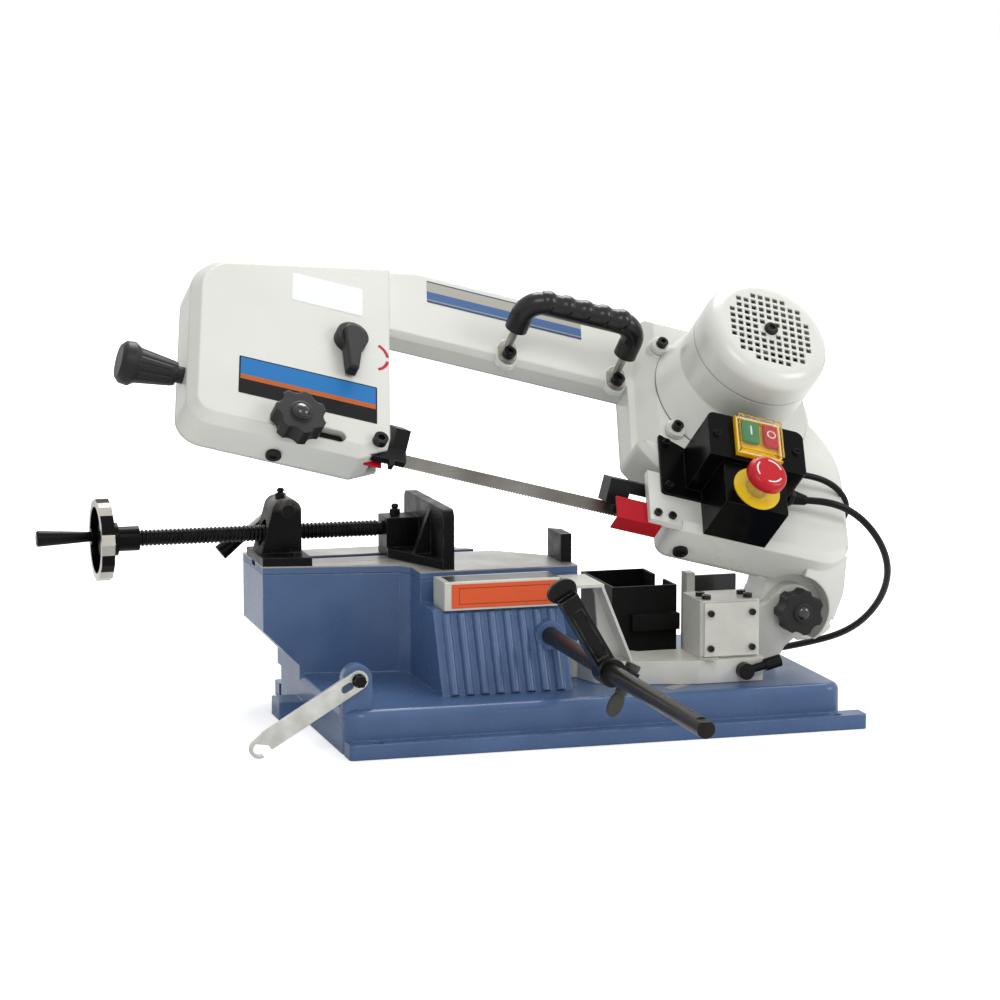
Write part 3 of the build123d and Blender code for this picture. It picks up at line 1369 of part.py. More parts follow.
# Screws of the bow
with BuildPart() as bow_screws:
    for lug_x in (lug_left, lug_right):
        socket_screw(bow, lug_x, lug_v, 6.5, beam_front + lug_thickness, 6)
    for ear_x, ear_v in flange_ears:
        socket_screw(bow, motor_x + ear_x, flange_v + ear_v, 5.5, housing_front + flange_thickness, 6)
    for screw_x in (plate_left + 8, plate_left + 23):
        socket_screw(bow, screw_x, housing_bottom + 9, 4, housing_front, 3)
    socket_screw(bow, head_right - 11, -13 + 4, 7, head_front, 7)
    for screw_x, floor_v in ((91, housing_bottom), (-324, head_bottom)):
        floor = Plane(origin=bow.from_local_coords((screw_x, floor_v, 0)), x_dir=bow.x_dir, z_dir=-bow.y_dir)
        socket_screw(floor, 0, 0, 7.5, 0, 3)
save(bow_screws.part, "bow_screws")

# Control box: flange on the casting, upper box with the switch and lower box with the stop
with BuildPart() as control_box:
    shape(
        bow,
        [
            (box_left - 26, 2, 4),
            (box_left - 26, box_top + 8, 2),
            (box_left + 1, box_top - 3),
            (box_left + 20, box_top - 3),
            (box_left + 20, 2),
        ],
        housing_front,
        housing_front + 3,
    )
    upper_box = [
        (box_left, box_step),
        (box_left, box_top, 8),
        (box_right, box_top, 8),
        (box_right, box_step, 4),
    ]
    shape(bow, upper_box, housing_front, box_front)
    lower_room = (estop_v - estop_disc_radius + 1, box_step + 1)
    block(bow, (stop_box_left, stop_box_right), lower_room, (housing_front, stop_box_front))
    for screw_x in (box_left + 9, box_right - 9):
        socket_screw(bow, screw_x, (box_step + box_top) / 2, 4, box_front, 2)
    for screw_v in (box_top - 2, 12):
        socket_screw(bow, box_left - 18, screw_v, 4, housing_front + 3, 3)
save(control_box.part, "control_box")

# Switch: yellow bezel, two sprung buttons and a clear flap on a hinge at the top
bezel_wall = 3.5
button_room_v = (switch_bottom + bezel_wall + slide_gap, switch_top - bezel_wall - slide_gap)
switch_middle = (switch_left + switch_right) / 2
button_back = box_front + button_travel + slide_gap
button_front = box_front + switch_height + button_travel
with BuildPart() as switch_bezel:
    bezel_room = (switch_bottom, switch_top)
    block(bow, (switch_left, switch_right), bezel_room, (box_front, box_front + switch_height))
    window = (switch_left + bezel_wall, switch_right - bezel_wall)
    window_v = (switch_bottom + bezel_wall, switch_top - bezel_wall)
    block(bow, window, window_v, (box_front, box_front + switch_height), Mode.SUBTRACT)
save(switch_bezel.part, "switch_bezel")

with BuildPart() as start_button:
    start_room = (switch_left + bezel_wall + slide_gap, switch_middle - slide_gap / 2)
    block(bow, start_room, button_room_v, (button_back, button_front))
save(start_button.part, "start_button")

with BuildPart() as stop_button:
    stop_room = (switch_middle + slide_gap / 2, switch_right - bezel_wall - slide_gap)
    block(bow, stop_room, button_room_v, (button_back, button_front))
save(stop_button.part, "stop_button")

flap_hinge_v = switch_top
flap_hinge_n = box_front + 7.5
flap_back = box_front + switch_height + slide_gap
flap_front = button_front + 3
with BuildPart() as switch_flap:
    flap_x = (switch_left + 1, switch_right - 1)
    flap_v = (switch_bottom + 1, switch_top - 1)
    block(bow, flap_x, flap_v, (flap_back, flap_front))
    flap_inside_x = (flap_x[0] + 1.2, flap_x[1] - 1.2)
    flap_inside_v = (flap_v[0] + 1.2, flap_v[1] - 1.2)
    block(bow, flap_inside_x, flap_inside_v, (flap_back, flap_front - 1.2), Mode.SUBTRACT)
    rod(across, flap_hinge_v, flap_hinge_n, 1.5, switch_left + 8, switch_right - 8)
save(switch_flap.part, "switch_flap")

# Mushroom stop: yellow disc with a steel collar, and the button on its stem
estop_collar = 13
estop_stem = 7
estop_head = stop_box_front + estop_collar + estop_travel + 2
with BuildPart() as estop_base:
    rod(bow, estop_x, estop_v, estop_disc_radius, stop_box_front, stop_box_front + 1.5)
    rod(bow, estop_x, estop_v, estop_collar_radius, stop_box_front, stop_box_front + estop_collar)
    stem_bore = (stop_box_front + 2, stop_box_front + estop_collar + 1)
    rod(bow, estop_x, estop_v, estop_stem + running, *stem_bore, Mode.SUBTRACT)
save(estop_base.part, "estop_base")

with BuildPart() as estop_button:
    rod(bow, estop_x, estop_v, estop_stem, stop_box_front + 2 + estop_travel + slide_gap, estop_head + 1)
    rod(bow, estop_x, estop_v, estop_radius, estop_head, estop_head + 10)
    fillet(faces().sort_by(Axis(bow.origin, bow.z_dir))[-1].edges(), 6)
save(estop_button.part, "estop_button")

# Cable gland on the box's right wall
gland = Plane(origin=bow.from_local_coords((box_right, gland_v, gland_n)), x_dir=bow.y_dir, z_dir=bow.x_dir)
with BuildPart() as cable_gland:
    with BuildSketch(gland):
        RegularPolygon(10, 6)
    extrude(amount=8)
    rod(gland, 0, 0, 7.5, 8, 13)
    rod(gland, 0, 0, 5.5, 13, gland_length)
save(cable_gland.part, "cable_gland")


def bend_radii(points):
    """As large an arc at each corner of a route as its two runs leave room for."""
    radii = []
    for before, corner, after in zip(points, points[1:], points[2:]):
        run_in = Vector(*corner) - Vector(*before)
        run_out = Vector(*after) - Vector(*corner)
        turn = radians(run_in.get_angle(run_out))
        radii.append(0.45 * min(run_in.length, run_out.length) / tan(turn / 2))
    return radii


def route_length(points):
    return sum((Vector(*b) - Vector(*a)).length for a, b in zip(points, points[1:]))


# Mains lead from the gland round the back of the bow, then along the bench to the coil
gland_end = tuple(bow.from_local_coords((box_right + gland_length, gland_v, gland_n)))
lead_split = (295, 155, 20)
lead_upper_points = [
    gland_end,
    (258, -50, 204),
    (290, -46, 188),
    (317, -35, 161),
    (336, -15, 130),
    (344, 15, 98),
    (341, 50, 68),
    (331, 85, 46),
    (312, 120, 31),
    lead_split,
]
with BuildPart() as mains_lead_upper:
    with BuildLine() as upper_route:
        FilletPolyline(*lead_upper_points, radius=bend_radii(lead_upper_points))
    with BuildSketch(Plane(origin=upper_route.line @ 0, z_dir=upper_route.line % 0)):
        Circle(lead_radius)
    sweep()
save(mains_lead_upper.part, "mains_lead_upper")

lead_floor = lead_radius + 0.1
split_run = (Vector(*lead_split) - Vector(*lead_upper_points[-2])).normalized()
lead_lower_points = [
    tuple(Vector(*lead_split) + split_run * slide_gap),
    tuple(Vector(*lead_split) + split_run * 38),
    (249, 225, 5),
    (210, 254, lead_floor),
    (168, 276, lead_floor),
    (120, coil_y + coil_radius, lead_floor),
]
with BuildPart() as mains_lead_lower:
    with BuildLine() as lower_route:
        FilletPolyline(*lead_lower_points, radius=bend_radii(lead_lower_points))
    with BuildSketch(Plane(origin=lower_route.line @ 0, z_dir=lower_route.line % 0)):
        Circle(lead_radius)
    sweep()
save(mains_lead_lower.part, "mains_lead_lower")

with BuildPart() as mains_coil:
    with BuildSketch(Plane(origin=(coil_x, coil_y, coil_section), x_dir=(1, 0, 0), z_dir=(0, 1, 0))):
        with Locations((coil_radius, 0)):
            Circle(coil_section)
    revolve(axis=Axis((coil_x, coil_y, 0), (0, 0, 1)))
save(mains_coil.part, "mains_coil")

# Mains plug at the free end of the lead, with two pins
plug = Plane(origin=(coil_x, coil_y + coil_radius, 15), x_dir=(0, 1, 0), z_dir=(-1, 0, 0))
with BuildPart() as mains_plug:
    rod(plug, 0, 0, 5, 16, 52)
    rod(plug, 0, 0, 9, 44, 60)
    rod(plug, 0, 0, 14.5, 58, 84)
    for pin_side in (-9.5, 9.5):
        rod(plug, pin_side, 0, 2.4, 83, 103)
save(mains_plug.part, "mains_plug")

# Motor cable from the box into the casting's right wall
motor_cable_points = [
    tuple(bow.from_local_coords(point))
    for point in (
        (box_right, 52, 52),
        (box_right + 27, 54, housing_front + 18),
        (housing_right - 24, 55, housing_front + 13),
        (housing_right - 3, 54, housing_front),
        (housing_right + 8, 51, 20),
        (housing_right + 9, 48, 4),
        (housing_right - 3, 46, -6),
    )
]
with BuildPart() as motor_cable:
    with BuildLine() as cable_route:
        FilletPolyline(*motor_cable_points, radius=bend_radii(motor_cable_points))
    with BuildSketch(Plane(origin=cable_route.line @ 0, z_dir=cable_route.line % 0)):
        Circle(cable_radius)
    sweep()
save(motor_cable.part, "motor_cable")

routes = {"lead": lead_upper_points, "lead on the bench": lead_lower_points, "cable": motor_cable_points}
for name, points in routes.items():
    print(name, round(route_length(points)), [round(radius) for radius in bend_radii(points)])
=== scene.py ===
from math import cos, pi, radians, sin

import bmesh
import bpy
from mathutils import Matrix, Vector


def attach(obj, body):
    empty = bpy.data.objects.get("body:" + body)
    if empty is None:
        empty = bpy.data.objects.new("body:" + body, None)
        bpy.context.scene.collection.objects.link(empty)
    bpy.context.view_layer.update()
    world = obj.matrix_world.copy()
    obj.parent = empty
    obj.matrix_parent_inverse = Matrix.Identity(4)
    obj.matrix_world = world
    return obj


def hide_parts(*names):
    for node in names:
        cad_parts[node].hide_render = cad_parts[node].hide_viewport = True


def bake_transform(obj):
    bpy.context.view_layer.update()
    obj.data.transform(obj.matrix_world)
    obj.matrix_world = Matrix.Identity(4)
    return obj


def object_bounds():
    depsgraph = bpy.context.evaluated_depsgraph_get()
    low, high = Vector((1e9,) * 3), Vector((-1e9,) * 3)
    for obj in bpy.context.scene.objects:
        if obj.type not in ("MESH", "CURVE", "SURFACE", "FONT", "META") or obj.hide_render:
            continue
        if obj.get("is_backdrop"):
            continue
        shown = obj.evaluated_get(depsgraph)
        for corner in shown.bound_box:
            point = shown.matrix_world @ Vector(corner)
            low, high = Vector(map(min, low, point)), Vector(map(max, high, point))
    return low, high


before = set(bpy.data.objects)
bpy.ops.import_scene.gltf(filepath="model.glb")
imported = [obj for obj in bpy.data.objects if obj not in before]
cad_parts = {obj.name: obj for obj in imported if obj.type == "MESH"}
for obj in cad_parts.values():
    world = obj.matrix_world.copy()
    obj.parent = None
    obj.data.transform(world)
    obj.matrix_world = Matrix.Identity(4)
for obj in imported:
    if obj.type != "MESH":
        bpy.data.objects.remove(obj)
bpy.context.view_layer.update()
scene = bpy.context.scene
scene.view_settings.view_transform = "Standard"

# Studio for the saw: a camera where the photograph was taken, a pale floor and large soft lamps.
# The world is white to the camera, in gloss and through clear plastic, and a weaker fill light on the saw.
camera = bpy.data.objects.new("camera", bpy.data.cameras.new("camera"))
camera.location = (-0.9454, -3.0318, 0.6683)
camera.rotation_euler = (radians(81.76), 0, radians(-16.2))
camera.data.lens = 118.8
camera.data.sensor_width = 36
scene.collection.objects.link(camera)
scene.camera = camera


def calculate(tree, operation, *values):
    """Math node on numbers and on other nodes' sockets; gives its output."""
    node = tree.nodes.new("ShaderNodeMath")
    node.operation = operation
    for place, value in enumerate(values):
        if isinstance(value, (int, float)):
            node.inputs[place].default_value = value
        else:
            tree.links.new(value, node.inputs[place])
    return node.outputs[0]


def shown_rays(tree, *kinds):
    """1 for rays of the named kinds, such as those from the camera, 0 for the rest."""
    path = tree.nodes.new("ShaderNodeLightPath")
    shown = path.outputs[kinds[0]]
    for kind in kinds[1:]:
        shown = calculate(tree, "MAXIMUM", shown, path.outputs[kind])
    return shown


def spread(tree, value, low, high):
    """Stretches the part of a value between low and high over 0 to 1."""
    node = tree.nodes.new("ShaderNodeMapRange")
    node.inputs["From Min"].default_value = low
    node.inputs["From Max"].default_value = high
    tree.links.new(value, node.inputs["Value"])
    return node.outputs["Result"]


fill_light = 0.46
world = bpy.data.worlds.new("studio")
world.use_nodes = True
scene.world = world
sky = world.node_tree
sky.nodes["Background"].inputs["Color"].default_value = (1, 1, 1, 1)
sky_shown = shown_rays(sky, "Is Camera Ray", "Is Transmission Ray", "Is Glossy Ray")
sky_strength = calculate(sky, "MULTIPLY_ADD", sky_shown, 1 - fill_light, fill_light)
sky.links.new(sky_strength, sky.nodes["Background"].inputs["Strength"])

floor_half = 8
floor_level = -0.0004
floor_mesh = bpy.data.meshes.new("floor")
floor_shape = bmesh.new()
bmesh.ops.create_grid(floor_shape, x_segments=1, y_segments=1, size=floor_half)
bmesh.ops.translate(floor_shape, vec=(0, 0, floor_level), verts=floor_shape.verts)
floor_shape.to_mesh(floor_mesh)
floor_shape.free()
floor = bpy.data.objects.new("floor", floor_mesh)
scene.collection.objects.link(floor)
floor_paint = bpy.data.materials.new("floor_paint")
floor_paint.use_nodes = True
floor_tree = floor_paint.node_tree
floor_shader = floor_tree.nodes["Principled BSDF"]
floor_shader.inputs["Base Color"].default_value = (0.9, 0.9, 0.9, 1)
floor_shader.inputs["Roughness"].default_value = 0.9
floor_shader.inputs["Specular IOR Level"].default_value = 0
floor_shader.inputs["Emission Color"].default_value = (1, 1, 1, 1)
floor_reach = floor_tree.nodes.new("ShaderNodeVectorMath")
floor_reach.operation = "LENGTH"
floor_spot = floor_tree.nodes.new("ShaderNodeTexCoord").outputs["Object"]
floor_tree.links.new(floor_spot, floor_reach.inputs[0])
near_reach, far_reach = 0.3, 1.6
near_glow, far_glow = 0.5, 1.1
floor_far = spread(floor_tree, floor_reach.outputs["Value"], near_reach, far_reach)
floor_pale = calculate(floor_tree, "MULTIPLY_ADD", floor_far, far_glow - near_glow, near_glow)
floor_shown = shown_rays(floor_tree, "Is Camera Ray", "Is Transmission Ray")
floor_glow = calculate(floor_tree, "MULTIPLY", floor_shown, floor_pale)
floor_tree.links.new(floor_glow, floor_shader.inputs["Emission Strength"])
floor_mesh.materials.append(floor_paint)
floor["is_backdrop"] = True
saw_middle = Vector((0, 0, 0.2))


def lamp(name, place, size, power):
    """Square soft box that looks at the middle of the saw."""
    light = bpy.data.lights.new(name, "AREA")
    light.size = size
    light.energy = power
    stand = bpy.data.objects.new(name, light)
    stand.location = place
    stand.rotation_euler = (saw_middle - Vector(place)).to_track_quat("-Z", "Y").to_euler()
    scene.collection.objects.link(stand)


lamp("key_lamp", (-0.6, -2.6, 2.5), 1.4, 26)
lamp("side_lamp", (2.4, -1.6, 1.5), 1.2, 24)
lamp("top_lamp", (0.6, 1.3, 2.4), 1.6, 52)

# Base: a cast tray with a vise block and a ribbed chute, in blue gloss enamel.
# The enamel has a fine orange peel, and its edges are painted a paler blue as a painted highlight.


def srgb(red, green, blue):
    """Colour as a screen shows it, from 0 to 255, for a shader."""
    linear = []
    for part in (red, green, blue):
        share = part / 255
        linear.append(((share + 0.055) / 1.055) ** 2.4 if part > 10 else share / 12.92)
    return (*linear, 1)


def effect(name, inputs, outputs):
    """Empty shader group with named number inputs and typed outputs."""
    group = bpy.data.node_groups.new(name, "ShaderNodeTree")
    for label, value in inputs.items():
        socket = group.interface.new_socket(label, in_out="INPUT", socket_type="NodeSocketFloat")
        socket.default_value = value
    for label, kind in outputs.items():
        group.interface.new_socket(label, in_out="OUTPUT", socket_type=kind)
    return group, group.nodes.new("NodeGroupInput").outputs, group.nodes.new("NodeGroupOutput").inputs


def noise(tree, scale, detail, place=None):
    """Noise on the piece's own coordinates; gives its grey value."""
    texture = tree.nodes.new("ShaderNodeTexNoise")
    texture.inputs["Detail"].default_value = detail
    if isinstance(scale, (int, float)):
        texture.inputs["Scale"].default_value = scale
    else:
        tree.links.new(scale, texture.inputs["Scale"])
    if place is None:
        place = tree.nodes.new("ShaderNodeTexCoord").outputs["Object"]
    tree.links.new(place, texture.inputs["Vector"])
    return texture.outputs["Fac"]


surface, surface_in, surface_out = effect(
    "handled_surface",
    {"Grain": 500, "Cloud": 14, "Edge": 0.001},
    {
        "Grain": "NodeSocketFloat",
        "Cloud": "NodeSocketFloat",
        "Edge": "NodeSocketFloat",
        "Normal": "NodeSocketVector",
    },
)
round_edge = surface.nodes.new("ShaderNodeBevel")
round_edge.samples = 6
surface.links.new(surface_in["Edge"], round_edge.inputs["Radius"])
flat_face = surface.nodes.new("ShaderNodeNewGeometry")
turned = surface.nodes.new("ShaderNodeVectorMath")
turned.operation = "DOT_PRODUCT"
surface.links.new(round_edge.outputs["Normal"], turned.inputs[0])
surface.links.new(flat_face.outputs["Normal"], turned.inputs[1])
edge_line = spread(surface, calculate(surface, "SUBTRACT", 1, turned.outputs["Value"]), 0.01, 0.14)
edge_breaks = spread(surface, noise(surface, 90, 3), 0.38, 0.6)
surface.links.new(calculate(surface, "MULTIPLY", edge_line, edge_breaks), surface_out["Edge"])
surface.links.new(round_edge.outputs["Normal"], surface_out["Normal"])
surface.links.new(noise(surface, surface_in["Grain"], 3), surface_out["Grain"])
surface.links.new(spread(surface, noise(surface, surface_in["Cloud"], 4), 0.3, 0.7), surface_out["Cloud"])


def blend_colours(tree, share, under, over):
    """Mix of two colours or colour sockets by a mask; gives its output."""
    mix = tree.nodes.new("ShaderNodeMix")
    mix.data_type = "RGBA"
    tree.links.new(share, mix.inputs["Factor"])
    for place, value in ((6, under), (7, over)):
        if isinstance(value, tuple):
            mix.inputs[place].default_value = value
        else:
            tree.links.new(value, mix.inputs[place])
    return mix.outputs[2]


def finish(name, colour, shade, roughness, **look):
    """Surface with grain, cloudy colour and haze, and edges that are rounded and may be paler, from wear on
    some finishes and as a painted highlight on others.
    """
    material = bpy.data.materials.new(name)
    material.use_nodes = True
    tree = material.node_tree
    shader = tree.nodes["Principled BSDF"]
    shader.inputs["Metallic"].default_value = look.get("metallic", 0)
    shader.inputs["Coat Weight"].default_value = look.get("coat", 0)
    shader.inputs["Coat Roughness"].default_value = 0.12
    shader.inputs["Specular IOR Level"].default_value = look.get("specular", 0.5)
    detail = tree.nodes.new("ShaderNodeGroup")
    detail.node_tree = surface
    detail.inputs["Grain"].default_value = look.get("grain", 500)
    detail.inputs["Cloud"].default_value = look.get("cloud", 14)
    detail.inputs["Edge"].default_value = look.get("edge", 1) / 1000
    tint = blend_colours(tree, detail.outputs["Cloud"], colour, shade)
    # Paler edges: wear on some finishes, a painted highlight on others.
    if "worn" in look:
        wear = calculate(tree, "MULTIPLY", detail.outputs["Edge"], look.get("wear", 0.5))
        tint = blend_colours(tree, wear, tint, look["worn"])
    tree.links.new(tint, shader.inputs["Base Color"])
    haze = look.get("haze", 0.08)
    rough = calculate(tree, "MULTIPLY_ADD", detail.outputs["Cloud"], haze, roughness - haze / 2)
    tree.links.new(rough, shader.inputs["Roughness"])
    relief = tree.nodes.new("ShaderNodeBump")
    relief.inputs["Strength"].default_value = look.get("bump", 0.1)
    relief.inputs["Distance"].default_value = look.get("relief", 0.3) / 1000
    tree.links.new(detail.outputs["Grain"], relief.inputs["Height"])
    tree.links.new(detail.outputs["Normal"], relief.inputs["Normal"])
    tree.links.new(relief.outputs["Normal"], shader.inputs["Normal"])
    return material


def dress(material, *names):
    """Gives solids of the saw their finish."""
    for name in names:
        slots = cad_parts[name].data.materials
        slots.clear()
        slots.append(material)


# The pale blue along the edges is a painted highlight.
blue_enamel = finish(
    "blue_enamel",
    srgb(80, 107, 148),
    srgb(70, 95, 135),
    0.28,
    coat=0.1,
    specular=0.3,
    grain=260,
    bump=0.12,
    edge=2.5,
    worn=srgb(150, 170, 204),
    wear=0.35,
)
dress(blue_enamel, "base_casting")

# Vise bed: a ground steel plate screwed on the casting, with the slot for the jaw.
# Grinding leaves fine lines along its top; its sides are painted with the casting.


def ground_steel(name, colour, shade, roughness, along, **look):
    """Bright steel with grinding lines that run along one axis."""
    look = {"metallic": 1, "grain": 1, "bump": 0.25, "relief": 0.05, "cloud": 22, "haze": 0.16, **look}
    material = finish(name, colour, shade, roughness, **look)
    tree = material.node_tree
    lines = tree.nodes.new("ShaderNodeMapping")
    lines.inputs["Scale"].default_value = [4 if axis == along else 900 for axis in "xyz"]
    tree.links.new(tree.nodes.new("ShaderNodeTexCoord").outputs["Object"], lines.inputs["Vector"])
    scratches = noise(tree, 1, 2, lines.outputs["Vector"])
    tree.links.new(scratches, tree.nodes["Bump"].inputs["Height"])
    base = tree.nodes["Principled BSDF"].inputs["Base Color"]
    plain = base.links[0].from_socket
    shaded = calculate(tree, "MULTIPLY", spread(tree, scratches, 0.35, 0.65), 0.3)
    tree.links.new(blend_colours(tree, shaded, plain, shade), base)
    return material


millimetres = Matrix.Scale(0.001, 4)


def new_piece(name, shape, place, material, body):
    """Turns a shape in millimetres into a piece of the saw that rides on a body."""
    bmesh.ops.remove_doubles(shape, verts=shape.verts, dist=0.001)
    bmesh.ops.transform(shape, matrix=place, verts=shape.verts)
    bmesh.ops.recalc_face_normals(shape, faces=shape.faces)
    mesh = bpy.data.meshes.new(name)
    shape.to_mesh(mesh)
    shape.free()
    mesh.materials.append(material)
    mesh.shade_smooth()
    mesh.set_sharp_from_angle(angle=radians(35))
    made = bpy.data.objects.new(name, mesh)
    scene.collection.objects.link(made)
    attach(made, body)
    return made


def plate_shape(width, height, thickness, corner):
    """Flat plate about its own middle with round corners and a softened front rim."""
    shape = bmesh.new()
    bmesh.ops.create_grid(shape, x_segments=1, y_segments=1, size=0.5)
    bmesh.ops.scale(shape, vec=(width, height, 1), verts=shape.verts)
    bmesh.ops.bevel(
        shape,
        geom=shape.verts[:],
        offset=corner,
        affect="VERTICES",
        segments=4,
        profile=0.5,
        material=-1,
    )
    front = bmesh.ops.extrude_face_region(shape, geom=shape.faces[:])["geom"]
    front_points = [item for item in front if isinstance(item, bmesh.types.BMVert)]
    bmesh.ops.translate(shape, vec=(0, 0, thickness), verts=front_points)
    rim = [edge for edge in shape.edges if all(point in front_points for point in edge.verts)]
    bmesh.ops.bevel(
        shape,
        geom=rim,
        offset=thickness * 0.4,
        affect="EDGES",
        segments=1,
        profile=0.5,
        material=-1,
    )
    return shape


def within(tree, value, low, high):
    """Mask that is 1 where a value lies between two limits."""
    return calculate(tree, "COMPARE", value, (low + high) / 2, (high - low) / 2)


def bare_metal(material, mask, shine):
    """Makes a finish metallic where a mask is 1, and only there."""
    tree = material.node_tree
    metallic = calculate(tree, "MULTIPLY", mask, shine)
    tree.links.new(metallic, tree.nodes["Principled BSDF"].inputs["Metallic"])


def paint_over(material, mask, colour):
    """Lays a second colour over a finish where a mask is 1."""
    base = material.node_tree.nodes["Principled BSDF"].inputs["Base Color"]
    under = base.links[0].from_socket
    material.node_tree.links.new(blend_colours(material.node_tree, mask, under, colour), base)


def measured(material, turn):
    """Coordinates of a piece in millimetres, in the axes of a matrix; gives x, y and z."""
    tree = material.node_tree
    mapping = tree.nodes.new("ShaderNodeMapping")
    inverse = turn.inverted()
    mapping.inputs["Location"].default_value = inverse.translation
    mapping.inputs["Rotation"].default_value = inverse.to_euler()
    mapping.inputs["Scale"].default_value = inverse.to_scale()
    tree.links.new(tree.nodes.new("ShaderNodeTexCoord").outputs["Object"], mapping.inputs["Vector"])
    parts = tree.nodes.new("ShaderNodeSeparateXYZ")
    tree.links.new(mapping.outputs["Vector"], parts.inputs["Vector"])
    return parts.outputs


bed_steel = ground_steel(
    "bed_steel",
    srgb(184, 183, 179),
    srgb(146, 144, 139),
    0.36,
    "x",
    edge=0.6,
)
paint_top = 146.2
seam_low, seam_high = 139.8, 140.5
bed_tree = bed_steel.node_tree
bed_z = measured(bed_steel, millimetres)[2]
bed_side = calculate(bed_tree, "LESS_THAN", bed_z, paint_top)
bare_metal(bed_steel, calculate(bed_tree, "SUBTRACT", 1, bed_side), 0.5)
paint_over(bed_steel, bed_side, srgb(76, 102, 142))
paint_over(bed_steel, within(bed_tree, bed_z, seam_low, seam_high), srgb(30, 36, 46))
dress(bed_steel, "vise_bed")

# Support bar in front of the blade: cast, in pale enamel, with a blackened strip let into its top.
# The panel on its front is a printed foil in plain orange with a darker frame.


def inside(tree, across, up, left, right, low, high):
    """Mask that is 1 inside a rectangle, from the two coordinates it lies in."""
    columns = within(tree, across, left, right)
    rows = within(tree, up, low, high)
    return calculate(tree, "MULTIPLY", columns, rows)


bar_enamel = finish(
    "bar_enamel",
    srgb(214, 214, 203),
    srgb(196, 196, 184),
    0.36,
    coat=0.2,
    grain=300,
    bump=0.12,
    cloud=30,
    edge=1,
    worn=srgb(140, 138, 130),
    wear=0.4,
)
bar_top = 144.6
bar_tree = bar_enamel.node_tree
bar_x, bar_y, bar_z = measured(bar_enamel, millimetres)
strip_place = inside(bar_tree, bar_x, bar_y, -134, -20, -67, -36)
strip_top = calculate(bar_tree, "GREATER_THAN", bar_z, bar_top)
paint_over(bar_enamel, calculate(bar_tree, "MULTIPLY", strip_place, strip_top), srgb(44, 44, 42))
dress(bar_enamel, "support_bar")
upright = Matrix.Rotation(radians(90), 4, "X")
panel_place = Matrix.Translation((-0.081, -0.072, 0.1315)) @ upright @ millimetres
panel_foil = finish(
    "panel_foil",
    srgb(232, 92, 36),
    srgb(224, 84, 30),
    0.42,
    grain=900,
    bump=0.05,
    edge=0.1,
)
panel_tree = panel_foil.node_tree
panel_x, panel_y = measured(panel_foil, panel_place)[:2]
frame_outside = inside(panel_tree, panel_x, panel_y, -45, 45, -8, 8)
frame_inside = inside(panel_tree, panel_x, panel_y, -44.2, 44.2, -7.2, 7.2)
frame_line = calculate(panel_tree, "SUBTRACT", frame_outside, frame_inside)
paint_over(panel_foil, frame_line, srgb(150, 42, 14))
new_piece("bar_panel", plate_shape(104, 23, 0.5, 1), panel_place, panel_foil, "base")

# Vise castings: bracket of the screw, moving jaw and fixed jaw, in rough black paint.
# The arch is painted paler grey towards its top, in patches, and the paint is worn to bare grey iron along
# the upper edges.
rough_black = finish(
    "rough_black",
    srgb(14, 14, 13),
    srgb(8, 8, 8),
    0.34,
    specular=0.12,
    grain=420,
    bump=0.7,
    relief=0.7,
    cloud=45,
    haze=0.2,
    edge=1.4,
    worn=srgb(104, 101, 95),
    wear=0.6,
)
arch_black = rough_black.copy()
arch_black.name = "arch_black"
arch_tree = arch_black.node_tree
# The arch is painted paler grey towards its top, in patches.
wear_start, wear_full = 196, 208
pale_top = spread(arch_tree, measured(arch_black, millimetres)[2], wear_start, wear_full)
pale_patches = spread(arch_tree, noise(arch_tree, 60, 4), 0.35, 0.6)
paint_over(arch_black, calculate(arch_tree, "MULTIPLY", pale_top, pale_patches), srgb(132, 128, 122))
dress(arch_black, "nut_bracket")
dress(rough_black, "moving_jaw", "fixed_jaw")

# Vise screw and quick release lever: blackened and oiled steel. The feed nut is bronze.
# The crests of the thread are painted paler grey, and the bar of the lever is rubbed bright.
# One oil nipple is screwed into the bracket and one into the moving jaw.
black_oxide = finish(
    "black_oxide",
    srgb(14, 14, 13),
    srgb(9, 9, 9),
    0.28,
    specular=0.16,
    grain=700,
    bump=0.15,
    cloud=40,
    haze=0.14,
    edge=0.7,
    worn=srgb(104, 100, 96),
    wear=0.4,
)
dress(black_oxide, "vise_screw")
release_black = black_oxide.copy()
release_black.name = "release_black"
release_fall = Matrix.Rotation(radians(142), 4, "Y")
release_place = Matrix.Translation((-0.257, 0.124, 0.197)) @ release_fall @ millimetres
release_reach = measured(release_black, release_place)[0]
release_bar = within(release_black.node_tree, release_reach, 11, 37.5)
paint_over(release_black, release_bar, srgb(190, 186, 178))
bare_metal(release_black, release_bar, 1)
dress(release_black, "quick_release_lever")


def turned_shape(profile, steps=32):
    """Solid of revolution about z, from (radius, height) points that start and end on the axis."""
    shape = bmesh.new()
    points = [shape.verts.new((radius, 0, height)) for radius, height in profile]
    lines = [shape.edges.new(pair) for pair in zip(points, points[1:])]
    bmesh.ops.spin(
        shape,
        geom=[*points, *lines],
        cent=(0, 0, 0),
        axis=(0, 0, 1),
        angle=2 * pi,
        steps=steps,
        use_merge=True,
    )
    return shape


oil_nipple = [
    (0, -1),
    (5.4, -1),
    (5.4, 4.6),
    (3, 5.4),
    (3, 6),
    (3.7, 6.8),
    (3.7, 8.2),
    (2.7, 9.8),
    (0, 10.4),
]
nipples = (
    ("bracket_nipple", (-262, 88, 209), "base"),
    ("jaw_nipple", (-146, 92, 188), "jaw"),
)
for name, foot, body in nipples:
    nipple_place = millimetres @ Matrix.Translation(foot)
    new_piece(name, turned_shape(oil_nipple, 6), nipple_place, black_oxide, body)
nut_bronze = finish("nut_bronze", srgb(150, 120, 70), srgb(120, 95, 55), 0.35, metallic=1, edge=0.5)
dress(nut_bronze, "feed_nut")

